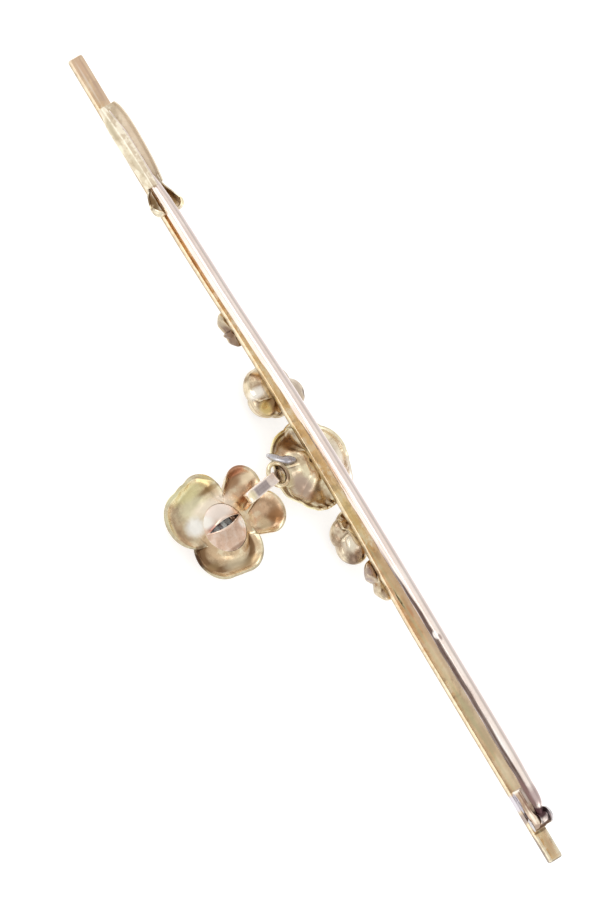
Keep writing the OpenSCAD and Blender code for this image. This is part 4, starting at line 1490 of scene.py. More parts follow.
@dataclass(frozen=True)
class Petal:
    """One petal: its round lobes, how far up it lies, how warm it is and how dark the painted shade in its ring is.

    A lobe holds the direction of its middle, its distance and its radius.
    """

    lobes: Rows
    lift: float = 0.0
    tone: float = 0.0
    ring: float = 0.5

    def middles(self) -> Array:
        """Places and radii of the lobes, a row for each."""
        turn, distance, radius = np.asarray(self.lobes).T
        return columns(distance * np.cos(np.radians(turn)), distance * np.sin(np.radians(turn)), radius)

    def inside(self, x: Array, y: Array) -> tuple[Array, Array]:
        """How far points lie inside the petal.

        The petal is the lobes, joined to each other in order, and each joined
        to the flower's middle by a shape that narrows to 0.55 of its radius.
        Along each joint the radius changes evenly.

        Args:
            x: places from the flower's middle.
            y: places from the flower's middle.

        Returns:
            The distance inside the petal's edge, and the share of the way from
            its middle line to its edge.
        """
        lobes = self.middles()
        starts = np.concatenate([lobes * np.array([0, 0, 0.55]), lobes[:-1]])
        ends = np.concatenate([lobes, lobes[1:]])
        depth = np.full(x.shape, -np.inf)
        share = np.full(x.shape, np.inf)
        for (ax, ay, ar), (bx, by, br) in zip(starts, ends):
            run = max((bx - ax) ** 2 + (by - ay) ** 2, 1e-9)
            t = np.clip(((x - ax) * (bx - ax) + (y - ay) * (by - ay)) / run, 0, 1)
            radius = ar + (br - ar) * t
            gone = np.hypot(x - ax - t * (bx - ax), y - ay - t * (by - ay))
            share = np.where(radius - gone > depth, gone / radius, share)
            depth = np.maximum(depth, radius - gone)
        return depth, share


@dataclass(frozen=True)
class Dent:
    """A pressed or raised place on a flower's back, from its centre, and how dark its painted shade is."""

    x: float
    y: float
    reach: tuple[float, float]
    depth: float
    dark: float = 0.0
    turn: float = 0.0


@dataclass
class PressedFlower:
    """A flower or bud pressed from sheet, closed at the back, as one body.

    A row holds the share of the way from the middle to the outline, and the
    heights of the back and the front there, as shares of the bar's rise.
    """

    name: str
    node: str
    slot: str
    finish: Gold
    place: tuple[float, float]
    petals: tuple[Petal, ...]
    core: float
    rows: Rows
    hole: float = 0.0
    steps: int = 360
    fine: int = 56
    step: float = 0.09
    rim_height: float = 0.07
    rim_width: float = 0.13
    bowl: float = 0.10
    ripple: float = 0.0
    apart_from: float = 0.30
    ruffle: float = 0.0
    crumple: float = 0.0
    dents: tuple[Dent, ...] = ()
    stains_and_painted_light: StainsAndPaintedLight = ()

    def outline(self, turn: Array) -> Array:
        """The petals' common outline.

        Along each direction the reach is the farthest point that still lies
        inside a petal, found between two points 0.02 apart by their depths.

        Args:
            turn: directions.

        Returns:
            The reach in each direction.
        """
        away = np.arange(self.core, 7.5, 0.02)[:, None]
        x, y = away * np.cos(turn), away * np.sin(turn)
        depth = np.max([p.inside(x, y)[0] for p in self.petals], axis=0)
        last = np.where(depth > 0, np.arange(len(away))[:, None], 0).max(axis=0)
        here = np.take_along_axis(depth, last[None], 0)[0]
        past = np.take_along_axis(depth, np.minimum(last + 1, len(away) - 1)[None], 0)[0]
        part = np.clip(here / np.maximum(here - past, 1e-6), 0, 1)
        return np.where(here > 0, away[last, 0] + 0.02 * part, self.core)

    def relief(self, x: Array, y: Array, s: Array) -> tuple[Array, Marks]:
        """The petals' relief over the plain dish.

        The petal that lies highest at a point raises it by its lift. Its rim
        is a ridge, a bell curve of the distance from the rim, with a painted
        highlight; its middle is pressed in by bowl (1 - share^2); a ring round
        its middle is the difference of two bell curves of the share, with
        painted shade in its trough; its creases are crumple times products of
        sines of x and y; and the petal below gets a painted shadow along the
        rim of the one above. Dents press the surface and are painted dark as shade.

        Args:
            x: places from the flower's middle.
            y: places from the flower's middle.
            s: shares of the way to the outline.

        Returns:
            The relief's height, and marks for the finish.
        """
        inside, share = (np.stack(held) for held in zip(*(p.inside(x, y) for p in self.petals)))
        lift, tone, ring = np.array([(p.lift, p.tone, p.ring) for p in self.petals]).T[..., None, None]
        top = np.argmax(np.where(inside > 0, lift + 5, np.minimum(inside, 0)), axis=0)[None]
        share_top, inside_top, lift_top, tone, ring = (
            np.take_along_axis(np.broadcast_to(held, share.shape), top, 0)[0]
            for held in (share, inside, lift, tone, ring))
        grown = eased(s, self.apart_from, self.apart_from + 0.22)
        # Painted highlight along each petal's rim
        ridge = bell(inside_top - self.rim_width * 0.55, self.rim_width) * grown
        wave = bell(share_top - 0.62, 0.13) - 0.8 * bell(share_top - 0.84, 0.09)
        height = self.step * lift_top * grown + self.rim_height * ridge
        height -= self.bowl * np.clip(1 - share_top**2, 0, 1) * grown
        height -= self.ripple * wave * grown
        if self.ruffle:
            turn = np.arctan2(y, x)
            height += self.ruffle * np.sin(23 * turn + 4 * np.sin(3 * turn)) * eased(s, 0.8, 1.0) * (x > 0)
        # Painted shadow on the lower petal along the rim of the one above
        above = np.where(lift > lift_top[None] + 0.01, bell(inside + 0.05, 0.10), 0).max(axis=0)
        crease = np.sin(2.9 * x + 1.3 * y + 1) * np.sin(2.3 * y - 0.8 * x + 2)
        crease += 0.6 * np.sin(5.1 * y + 2 * np.sin(1.7 * x))
        height += self.crumple * crease * eased(s, 0.1, 0.3) * (1 - eased(s, 0.85, 0.97))
        # Rims get a painted highlight, and the ring's trough gets painted shade
        marks = {"rim": ridge * 0.6, "hollow": above * grown * 0.9, "tone": tone * grown,
                 "band": np.clip(wave * ring, 0, 1) * grown * (self.ripple > 0)}
        for dent in self.dents:
            a, b = swung(x - dent.x, y - dent.y, -np.radians(dent.turn))
            egg = bell(a, dent.reach[0]) * bell(b, dent.reach[1])
            height -= dent.depth * egg
            # Dents are painted dark as shade
            marks["hollow"] = np.clip(marks["hollow"] + dent.dark * egg, 0, 1)
        return height, marks

    def body(self) -> Shell:
        """The closed body: its back, a rounded rim, and its plain front.

        Both faces are surfaces over share and direction, and half circles
        close them along the outline and along the hole, if there is one.

        Returns:
            The body as a closed shell.
        """
        turn = turns(self.steps)
        table = smooth(self.rows, 120)
        s = np.concatenate([np.linspace(0.0 if self.hole else 0.01, 0.86, self.fine), np.linspace(0.87, 1, 16)])
        rim = 0.035
        reach = self.outline(turn) - self.hole - rim - 0.02
        radius = self.hole + s[:, None] * reach
        x, y = radius * np.cos(turn), radius * np.sin(turn)
        height, marks = self.relief(x, y, s[:, None] + 0 * x)
        back = LAYOUT.rise * np.interp(s, table[:, 0], table[:, 1])[:, None] + height
        front = LAYOUT.rise * np.interp(s, table[:, 0], table[:, 2])[:, None]
        front = front + 0.6 * height * eased(s, 0.3, 0.7)[:, None]
        ceiling = LAYOUT.rise * max(r[1] for r in self.rows)
        back = np.minimum(ceiling, np.maximum(back, front + 0.08))
        front = np.maximum(front, LAYOUT.rise * min(r[2] for r in self.rows))
        lean = np.linspace(0, np.pi, 7)[1:-1][:, None]
        edge_r = self.hole + reach + rim * np.sin(lean)
        edge_z = (back[-1] + front[-1]) / 2 + (back[-1] - front[-1]) / 2 * np.cos(lean)
        sheets = [columns(x, y, back),
                  columns(edge_r * np.cos(turn), edge_r * np.sin(turn), edge_z),
                  columns(x, y, front)[::-1]]
        grid = np.concatenate(sheets)
        held = {}
        for name, value in marks.items():
            middle = np.repeat(value[-1:], len(lean), axis=0)
            held[name] = np.concatenate([value, middle, value[::-1] * 0.5])
        grid = grid + LAYOUT.at(self.place)
        return ring_grid(grid, held) if self.hole else closed_grid(grid, held)

    def build(self) -> bpy.types.Object:
        """Dresses the body.

        Returns:
            The finished flower or bud.
        """
        material = self.finish.material(self.name, patches(self.stains_and_painted_light, *self.place))
        piece = Piece(self.name, Body.BROOCH, self.slot, (self.node,), (material,), ridge=0.05, crease=60)
        return piece.make([self.body()])


@dataclass
class FlowerRing:
    """The ring at the open flower's rim, with the scroll of solder that holds it.

    The solder's rows hold places along and across, the height over the flower's
    rim, and the radius.
    """

    place: tuple[float, float] = (-0.5, -3.64)
    rim: float = 2.016
    lift: float = 0.28
    radius: float = 1.04
    wire_r: float = 0.205
    tilt: float = 8.0
    solder: Rows = (
        (-2.3, -3.5, 0.25, 0.2), (-2.12, -3.32, 0.25, 0.3), (-1.88, -3.08, 0.24, 0.34), (-1.62, -2.76, 0.24, 0.31),
        (-1.38, -2.44, 0.22, 0.33), (-1.2, -2.1, 0.22, 0.4), (-1.05, -1.8, 0.26, 0.38), (-0.92, -1.5, 0.34, 0.26))

    def link(self) -> Shell:
        """The ring, a circle carried round a tilted circle.

        Returns:
            The ring as a closed shell.
        """
        turn, round_ = turns(96)[:, None], turns(20)[None]
        away = self.radius + self.wire_r * np.cos(round_)
        y, z = swung(away * np.sin(turn), self.wire_r * np.sin(round_), -np.radians(self.tilt))
        grid = columns(away * np.cos(turn), y, z)
        return ring_grid(grid + LAYOUT.at(self.place, self.rim + self.lift))

    def build(self) -> bpy.types.Object:
        """The ring and its solder as one piece.

        Returns:
            The finished ring.
        """
        rows = [(*LAYOUT.at((x, y), self.rim + h), r) for x, y, h, r in self.solder]
        blob = wire(rows, (0, 0, 1), 40)
        blob.slot_index = 1
        # Painted shade on the top of the ring, on the side towards the flower
        ring_painted_shade = ((0.2, 0.7, 2.3), (0.9, 0.35, 0.3), (0.16, 0.08, 0.05), 0.7, 0.3, 0.8)
        metal = Finishes.PETAL.material("ring", patches((ring_painted_shade,), *self.place))
        materials = (metal, Finishes.SILVER.material("ring"))
        piece = Piece("flower_ring", Body.BROOCH, "green_gold", ("drop_ring",), materials)
        return piece.make([self.link(), blob])


@dataclass
class Bail:
    """The strap that links the ring and the hanging flower, bent to a long flat loop.

    It leaves the ring in the direction way and falls by the angle drop.
    """

    width: float = 1.0
    sheet: float = 0.2
    length: float = 3.7
    height: float = 0.98
    way: float = 277.0
    drop: float = 3.5
    ring: FlowerRing = field(default_factory=FlowerRing)
    stains_and_painted_light: StainsAndPaintedLight = (
        ((-0.75, -4.7, 2.9), (0.34, 0.3, 0.3), (0.80, 0.62, 0.52), 0.8, 0.3, 0.8),
        ((-0.05, -7.3, 2.4), (0.6, 0.4, 0.5), (0.88, 0.78, 0.50), 0.8, 0.25, 0.8),
    )

    def build(self) -> bpy.types.Object:
        """The loop: a strap's section carried round a long oval.

        The section is a rounded box whose edges stand proud of its middle.

        Returns:
            The finished strap.
        """
        r = self.height / 2 - self.sheet / 2
        turn = np.linspace(-np.pi / 2, np.pi / 2, 28)
        far = columns(self.length - self.height / 2 + r * np.cos(turn), r * np.sin(turn))
        near = columns(self.height / 2 - r * np.cos(turn), -r * np.sin(turn))
        line = np.linspace(0, 1, 20)[1:-1, None]
        upper = far[-1] + line * (near[0] - far[-1])
        lower = near[-1] + line * (far[0] - near[-1])
        oval = np.concatenate([far, upper, near, lower])
        box = rounded_box(self.width, self.sheet, 0.06, 14, 4) - np.array([0, self.sheet / 2])
        box[:, 1] -= np.sign(box[:, 1]) * 0.035 * bell(box[:, 0], 0.22)
        path = columns(oval[:, 0], 0, oval[:, 1])
        ahead = unit(np.roll(path, -1, 0) - np.roll(path, 1, 0))
        side = np.broadcast_to(np.array([0.0, 1.0, 0.0]), path.shape)
        up = np.cross(side, ahead)
        grid = path[:, None] + box[None, :, :1] * side[:, None] + box[None, :, 1:] * up[:, None]
        hole = self.ring.radius - self.ring.wire_r
        grid[..., 0] += np.sqrt(hole**2 - self.width**2 / 4) - self.sheet - 0.045
        x, z = swung(grid[..., 0], grid[..., 2], -np.radians(self.drop))
        placed = columns(*swung(x, grid[..., 1], np.radians(self.way)), z)
        high = self.ring.rim + self.ring.lift + self.ring.radius * np.sin(np.radians(self.ring.tilt))
        placed += LAYOUT.at(self.ring.place, high)
        # Painted shade in the recess between the strap's proud edges, along one straight run
        recess = eased(0.4 - np.abs(box[:, 0]), 0, 0.06) * (box[:, 1] > 0)
        run_along = eased(oval[:, 0], 1.2, 1.35) * (1 - eased(oval[:, 0], 2.75, 2.9)) * (oval[:, 1] > 0)
        shade = recess[None] * run_along[:, None]
        strap = ring_grid(placed, {"tone": shade, "band": 0.4 * shade})
        finish = Finishes.ROSE.material("bail", patches(self.stains_and_painted_light))
        piece = Piece("bail_strap", Body.BROOCH, "rose_gold", ("bail",), (finish,))
        return piece.make([strap])


@dataclass
class DropSetting:
    """The hanging flower's round setting, open at its back as a pointed slot, with its stone.

    The slot has a length and a width, a direction, and a place from the
    setting's middle. The foot, side and top are heights over the surface.
    """

    place: tuple[float, float] = (1.05, -10.8)
    radius: float = 2.15
    wall: float = 0.22
    foot: float = 0.3
    side: float = 1.58
    top: float = 1.92
    slot: tuple[float, float] = (3.7, 0.62)
    slot_turn: float = 92.0
    slot_place: tuple[float, float] = (-0.3, 0.08)
    stone_r: float = 1.8
    facets: int = 12
    # Painted light: white painted highlights beside the slot, a pale painted sheen over the upper half, and dark
    # painted shade at the slot's end and at the side
    stains_and_painted_light: StainsAndPaintedLight = (
        ((-0.45, -1.35, 1.85), (0.3, 0.45, 0.5), (0.40, 0.16, 0.12), 0.85, 0.3, 0.9),
        ((-1.5, 0.2, 1.8), (0.75, 1.9, 0.8), (0.98, 0.88, 0.80), 0.8, 0.25, 0.9),
        ((-1.2, -1.5, 1.8), (0.6, 0.6, 0.8), (1.0, 0.97, 0.90), 0.9, 0.2, 0.9),
        ((0.4, 1.9, 1.8), (0.5, 0.5, 0.8), (1.0, 0.97, 0.90), 0.9, 0.2, 0.9),
        ((1.95, 0.5, 1.5), (0.2, 1.5, 0.5), (0.30, 0.18, 0.12), 0.7, 0.3, 0.9),
    )

    def eye(self, turn: Array) -> Array:
        """The slot's outline, where two circles cross.

        Each circle is bowed by half the slot's width over its half length, and
        a ray leaves the lens at the nearer of the two.

        Args:
            turn: directions from the slot's middle.

        Returns:
            The distance to the outline.
        """
        half, wide = self.slot[0] / 2, self.slot[1]
        bow = (half**2 + wide**2 / 4) / wide
        away = turn - np.radians(self.slot_turn)
        drop = bow - wide / 2
        return -drop * np.abs(np.sin(away)) + np.sqrt(bow**2 - (drop * np.cos(away)) ** 2)

    def collet(self) -> Shell:
        """The setting: a closed loop of points at each direction from the slot's middle.

        The loop goes from the slot's lip over the domed back, down the side,
        round the foot, and up the inside again.

        Returns:
            The setting as a closed shell.
        """
        turn = turns(220)
        ox, oy = self.slot_place
        along = -(ox * np.cos(turn) + oy * np.sin(turn))

        def ring(radius: float) -> Array:
            """Distance from the slot's middle to a circle round the setting's middle."""
            return along + np.sqrt(radius**2 - ox**2 - oy**2 + along**2)

        def upright(radius: float, heights: Array) -> Array:
            """Rings of one radius, one over the other."""
            away = ring(radius)
            return columns(away * np.cos(turn), away * np.sin(turn), heights)

        def dome(x: Array, y: Array) -> Array:
            """Height of the domed back, which falls by a power of the way to the side."""
            away = np.hypot(x + ox, y + oy) / self.radius
            return self.top - (self.top - self.side) * np.clip(away, 0, 1) ** 2.4

        inner = self.eye(turn)
        outer = ring(self.radius - 0.03)
        share = np.linspace(0, 1, 22)[:, None]
        across = inner + share * (outer - inner)
        x, y = across * np.cos(turn), across * np.sin(turn)
        lip = bell(across - inner - 0.1, 0.13)
        back = columns(x, y, dome(x, y) + 0.07 * lip)
        low = np.minimum(across, ring(self.radius - self.wall))
        xi, yi = low * np.cos(turn), low * np.sin(turn)
        under = columns(xi, yi, dome(xi, yi) - self.wall)[::-1]
        depth = np.linspace(0, 1, 10)[:, None]
        wall = upright(self.radius, self.side - 0.03 - depth * (self.side - 0.03 - self.foot))
        bezel = upright(self.stone_r - 0.06, self.foot + depth * (0.65 - self.foot))
        inside = upright(self.radius - self.wall, 0.66 + depth * (self.side - self.wall - 0.68))
        grid = np.concatenate([back, wall, bezel, inside, under])
        return ring_grid(grid + LAYOUT.at(self.place) + np.array([ox, oy, 0]))

    def stone(self) -> Shell:
        """The stone: rings of points, every other ring turned by half a facet.

        Its table lies on the surface, the girdle above it, and the back
        narrows in two rows of facets to a small flat end.

        Returns:
            The stone as a closed shell.
        """
        rows = ((0.0, 0.62, 0), (0.26, 0.86, 1), (0.50, 1.0, 0), (0.60, 1.0, 0), (1.02, 0.62, 1), (1.46, 0.08, 0))
        z, share, half = np.asarray(rows).T
        angle = turns(self.facets)[None] + half[:, None] * np.pi / self.facets
        radius = (share * self.stone_r)[:, None]
        grid = columns(radius * np.cos(angle), radius * np.sin(angle), z[:, None])
        shell = closed_grid(grid + LAYOUT.at(self.place))
        shell.slot_index = 1
        return shell

    def build(self) -> bpy.types.Object:
        """The setting and its stone as one piece.

        Returns:
            The finished setting.
        """
        metal = Finishes.SETTING.material("setting", patches(self.stains_and_painted_light, *self.place))
        materials = (metal, Finishes.STONE.material("setting"))
        piece = Piece("drop_setting", Body.BROOCH, "rose_gold", ("drop_collet", "drop_stone"), materials, crease=30)
        return piece.make([self.collet(), self.stone()])


@dataclass
class Studio:
    """A plain pale floor, soft light and the camera at the photograph's angle.

    The picture's right and down are shares of the bar's direction, and rise
    holds how much of a step across the bar and of one up goes up in it.
    """

    frame_height: float = 76.95
    distance: float = 1500.0
    aim: tuple[float, float] = (-1.32, -0.91)
    right: float = 0.51465
    down: float = 0.8574
    rise: tuple[float, float] = (ACROSS_SEEN, UP_SEEN)

    def camera(self) -> None:
        """A long lens that looks down at the brooch's back, turned so that the bar runs down the picture."""
        along = Vector((1, 0, 0))
        up_bar = Vector((0, self.rise[0], self.rise[1]))
        back = along.cross(up_bar)
        right = self.right * along + self.down * up_bar
        up = -self.down * along + self.right * up_bar
        target = Vector(LAYOUT.at(self.aim, LAYOUT.rise + 0.25))
        place = (target + back * self.distance) * MM
        data = bpy.data.cameras.new("camera")
        data.sensor_fit = "VERTICAL"
        data.sensor_height = 36.0
        data.lens = data.sensor_height * self.distance / self.frame_height
        data.clip_start = 0.05
        data.clip_end = 20.0
        camera = shown("camera", data)
        turn = Matrix((right, up, back)).transposed().to_4x4()
        camera.matrix_world = Matrix.Translation(place) @ turn
        bpy.context.scene.camera = camera

    def floor(self) -> None:
        """A wide pale floor just under the brooch."""
        size = 1.6
        mesh = bpy.data.meshes.new("floor")
        corners = [(-size, -size, 0), (size, -size, 0), (size, size, 0), (-size, size, 0)]
        mesh.from_pydata(corners, [], [(0, 1, 2, 3)])
        floor = shown("floor", mesh)
        floor.location.z = -0.00002
        b = Bench("pale_floor")
        b.give("Base Color", (0.55, 0.55, 0.55, 1))
        b.give("Roughness", 0.9)
        b.give("Specular IOR Level", 0.0)
        b.give("Emission Color", (1, 1, 1, 1))
        b.give("Emission Strength", 0.64)
        mesh.materials.append(b.material)

    def lamp(self, name: str, place: Spot, size: float, glow: float) -> None:
        """A square soft light that looks at the brooch.

        Args:
            name: its name.
            place: where it stands, in millimetres.
            size: its side, in millimetres.
            glow: how bright its face looks, where white paper in full light is 1.
        """
        data = bpy.data.lights.new(name, "AREA")
        data.size = size * MM
        data.energy = glow * np.pi * data.size**2
        lamp = shown(name, data)
        lamp.location = Vector(place) * MM
        lamp.rotation_euler = (-lamp.location).to_track_quat("-Z", "Y").to_euler()

    def sky(self) -> None:
        """A pale dome that is dimmer where the flat backs mirror it.

        The direction's part along the bar's back as seen by the camera picks
        the brightness from a ramp.
        """
        world = bpy.data.worlds.new("studio")
        bpy.context.scene.world = world
        world.use_nodes = True
        tree = world.node_tree
        where = tree.nodes.new("ShaderNodeTexCoord")
        dot = tree.nodes.new("ShaderNodeVectorMath")
        dot.operation = "DOT_PRODUCT"
        tree.links.new(where.outputs["Generated"], dot.inputs[0])
        dot.inputs[1].default_value = (0.0, self.rise[1], self.rise[0])
        ramp = tree.nodes.new("ShaderNodeValToRGB")
        tree.links.new(dot.outputs["Value"], ramp.inputs[0])
        stops = ramp.color_ramp.elements
        stops[0].position, stops[0].color = 0.0, (1.0, 1.0, 0.99, 1)
        stops[1].position, stops[1].color = 1.0, (0.69, 0.68, 0.66, 1)
        for place, value in ((0.8, 0.97), (0.93, 0.84)):
            stop = stops.new(place)
            stop.color = (value, value * 0.985, value * 0.965, 1)
        ground = tree.nodes["Background"]
        tree.links.new(ramp.outputs["Color"], ground.inputs["Color"])
        ground.inputs["Strength"].default_value = 1.0

    def build(self) -> None:
        """Camera, floor and lights."""
        self.camera()
        self.floor()
        self.sky()
        self.lamp("soft_left", (-330, 60, 240), 200, 1.6)
        self.lamp("soft_right", (330, 40, 220), 180, 1.3)
        self.lamp("soft_front", (-60, -330, 220), 160, 1.4)
        bpy.context.scene.view_settings.view_transform = "Standard"


def flowers() -> list[PressedFlower]:
    """The flowers and buds of the brooch.

    Returns:
        The open flower, the buds on the bar and the hanging flower.
    """
    # Many patch rows of each flower are painted highlights and painted shade, and the darkness of its dents is painted
    # shade
    r, bud = 4.15, 2.4
    lifts, tones = (0.1, 0.5, 0.2, 0.9, 0.2, 0.4), (0.1, 0.2, 0.3, 0.2, 0.3, 0)
    open_flower = PressedFlower(
        "open_flower", "centre_flower", "flower_gold", Finishes.PETAL, (0.25, 0.15),
        tuple(Petal(((40 + 60 * k, r * 0.34, r * 0.66),), lifts[k], tones[k]) for k in range(6)),
        1.0,
        ((0.14, 1.00, 0.00), (0.24, 0.99, 0.08), (0.36, 0.92, 0.20), (0.48, 0.77, 0.20), (0.60, 0.64, 0.26),
         (0.76, 0.56, 0.34), (0.88, 0.60, 0.44), (0.95, 0.70, 0.56), (1.00, 0.72, 0.66)),
        steps=400, rim_height=0.03, rim_width=0.12, bowl=0.04, step=0.03, apart_from=0.55, ruffle=0.07,
        crumple=0.022,
        dents=(Dent(-0.33, -0.4, (0.16, 0.14), 0.05, 1.0), Dent(-2.6, -1.2, (0.8, 0.6), 0.06, 0.8, 30),
               Dent(2.3, -0.9, (0.9, 0.55), 0.10, 0.9, -20), Dent(0.6, -2.2, (0.9, 0.5), 0.03, 0.2),
               Dent(2.2, -2.6, (1.0, 0.3), 0.04, 0.4, 35)),
        stains_and_painted_light=(((1.4, 2.7, 2.0), (2.4, 0.9, 0.9), (0.92, 0.84, 0.76), 0.8, 0.35, 1.0),
                ((-0.64, -3.5, 2.0), (0.6, 0.5, 0.6), (0.13, 0.06, 0.04), 0.9, 0.3, 0.7),
                ((-2.4, -0.7, 1.9), (0.8, 0.7, 0.7), (0.26, 0.14, 0.06), 0.85, 0.3, 0.9),
                ((-3.5, -1.7, 2.0), (0.5, 0.8, 0.6), (0.92, 0.82, 0.38), 0.7, 0.25, 0.9),
                ((-2.7, -3.0, 2.0), (0.6, 0.5, 0.6), (0.90, 0.84, 0.56), 0.6, 0.25, 0.9),
                ((1.2, -1.9, 1.9), (1.2, 0.8, 0.8), (0.40, 0.29, 0.23), 0.85, 0.3, 1.0),
                ((2.4, -1.5, 1.9), (0.35, 0.5, 0.5), (0.28, 0.15, 0.10), 0.7, 0.3, 1.0),
                ((3.1, -2.5, 2.0), (0.8, 0.4, 0.6), (0.90, 0.86, 0.54), 0.6, 0.25, 0.9),
                ((0.3, -2.9, 2.0), (0.7, 0.5, 0.6), (0.52, 0.42, 0.22), 0.6, 0.3, 0.9)))
    rose_rows = ((0.22, 1.00, 0.00), (0.45, 1.00, 0.05), (0.62, 0.92, 0.12), (0.78, 0.84, 0.22), (0.90, 0.76, 0.34),
                 (0.97, 0.68, 0.44), (1.00, 0.60, 0.52))
    left_rose = PressedFlower(
        "left_rose", "left_rosebud", "flower_gold", Finishes.BUD, (-6.9, 0.45),
        (Petal(((165, bud * 0.34, bud * 0.70),), 0.9, 0.3), Petal(((115, bud * 0.45, bud * 0.67),), 0.2),
         Petal(((215, bud * 0.36, bud * 0.72),), 1.6, 0.1), Petal(((294, bud * 0.34, bud * 0.70),), 0.5, 0.2),
         Petal(((6, bud * 0.30, bud * 0.70),), 0.0, 0.3), Petal(((62, bud * 0.92, bud * 0.55),), 0.6, 0.3)),
        1.0, rose_rows, steps=280, fine=44, step=0.13, rim_height=0.05, rim_width=0.14, bowl=0.05, apart_from=0.1,
        crumple=0.016,
        dents=(Dent(0.75, -1.1, (0.42, 0.7), 0.35, 1.0, 20), Dent(1.3, -0.2, (0.5, 0.4), 0.2, 0.9),
               Dent(0.2, -1.5, (0.12, 0.3), 0.1, 0.8, -20), Dent(1.5, 2.9, (0.3, 0.25), 0.12, 0.8)),
        stains_and_painted_light=(((-0.5, -1.6, 2.3), (0.45, 0.9, 0.7), (0.94, 0.90, 0.82), 0.8, 0.2, 0.9),
                ((0.9, -1.0, 2.2), (0.9, 0.9, 0.7), (0.24, 0.14, 0.06), 0.9, 0.3, 0.9),
                ((1.0, -1.6, 2.2), (0.6, 0.5, 0.6), (0.80, 0.62, 0.24), 0.6, 0.25, 1.0),
                ((1.54, 2.85, 1.9), (0.5, 0.3, 0.5), (0.16, 0.09, 0.05), 0.9, 0.3, 0.8),
                ((0.6, 2.0, 2.2), (1.4, 0.8, 0.7), (0.50, 0.42, 0.36), 0.6, 0.3, 0.9),
                ((-2.1, -2.0, 2.0), (0.35, 0.7, 0.6), (0.24, 0.16, 0.09), 0.8, 0.3, 0.8)))
    right_rose = PressedFlower(
        "right_rose", "right_rosebud", "flower_gold", Finishes.BUD, (7.3, 0.45),
        (Petal(((172, bud * 0.33, bud * 0.64),), 1.4, 0.1), Petal(((244, bud * 0.34, bud * 0.66),), 0.8, 0.3),
         Petal(((312, bud * 0.55, bud * 0.62),), 1.2, 0.4), Petal(((40, bud * 0.28, bud * 0.64),), 0.2),
         Petal(((104, bud * 0.28, bud * 0.64),), 0.6)),
        1.0, rose_rows, steps=280, fine=44, step=0.13, rim_height=0.08, rim_width=0.12, bowl=0.08, apart_from=0.1,
        crumple=0.016,
        dents=(Dent(-0.9, -1.0, (0.2, 0.5), 0.12, 0.7, 30), Dent(0.3, -1.7, (0.5, 0.12), 0.1, 0.8, -20),
               Dent(1.6, -1.2, (0.5, 0.4), 0.1, 0.6)),
        stains_and_painted_light=(((0.5, -1.4, 2.3), (0.7, 0.6, 0.6), (0.84, 0.78, 0.64), 0.7, 0.2, 0.9),
                ((1.7, -1.8, 2.0), (0.6, 0.5, 0.6), (0.20, 0.13, 0.09), 0.9, 0.3, 0.8),
                ((-0.4, -2.2, 2.0), (0.9, 0.25, 0.5), (0.25, 0.16, 0.10), 0.7, 0.3, 0.9),
                ((-1.2, -0.8, 2.2), (0.25, 0.6, 0.6), (0.34, 0.22, 0.12), 0.7, 0.3, 0.9)))
    leaf_rows = ((0.40, 1.00, 0.52), (0.68, 1.00, 0.54), (0.86, 0.96, 0.66), (1.00, 0.88, 0.78))
    left_leaf = PressedFlower(
        "left_leaves", "left_leaf_bud", "flower_gold", Finishes.BUD, (-13.2, -0.1),
        (Petal(((180, 1.1, 0.62),), 0.8), Petal(((0, 0.2, 0.64),), 0.0), Petal(((3, 1.15, 0.52),), 0.0)),
        0.3, leaf_rows, steps=180, fine=26, step=0.1, rim_height=0.03, rim_width=0.09, bowl=0.05, apart_from=0.1,
        stains_and_painted_light=(((0.6, -0.5, 2.3), (1.5, 0.7, 0.6), (0.20, 0.12, 0.08), 0.9, 0.3, 0.6),
                ((-1.1, -0.6, 2.3), (0.6, 0.5, 0.6), (0.50, 0.42, 0.30), 0.7, 0.3, 0.8)))
    right_leaf = PressedFlower(
        "right_leaves", "right_leaf_bud", "flower_gold", Finishes.BUD, (11.75, -0.1),
        (Petal(((175, 0.75, 1.25),), 0.0), Petal(((355, 0.95, 1.0),), 0.8)),
        0.3, leaf_rows, steps=180, fine=30, step=0.1, rim_height=0.05, rim_width=0.12, bowl=0.08, apart_from=0.1,
        dents=(Dent(0.1, -0.7, (0.14, 0.14), 0.1, 0.9), Dent(0.75, -0.75, (0.35, 0.2), 0.05, 0.8)),
        stains_and_painted_light=(((-0.9, -0.6, 2.2), (0.8, 0.6, 0.6), (0.34, 0.26, 0.26), 0.8, 0.3, 0.8),
                ((0.15, -0.75, 2.2), (0.2, 0.2, 0.4), (0.34, 0.18, 0.07), 0.9, 0.3, 0.8),
                ((1.2, -0.5, 2.2), (0.6, 0.4, 0.6), (0.66, 0.54, 0.42), 0.6, 0.3, 0.9)))
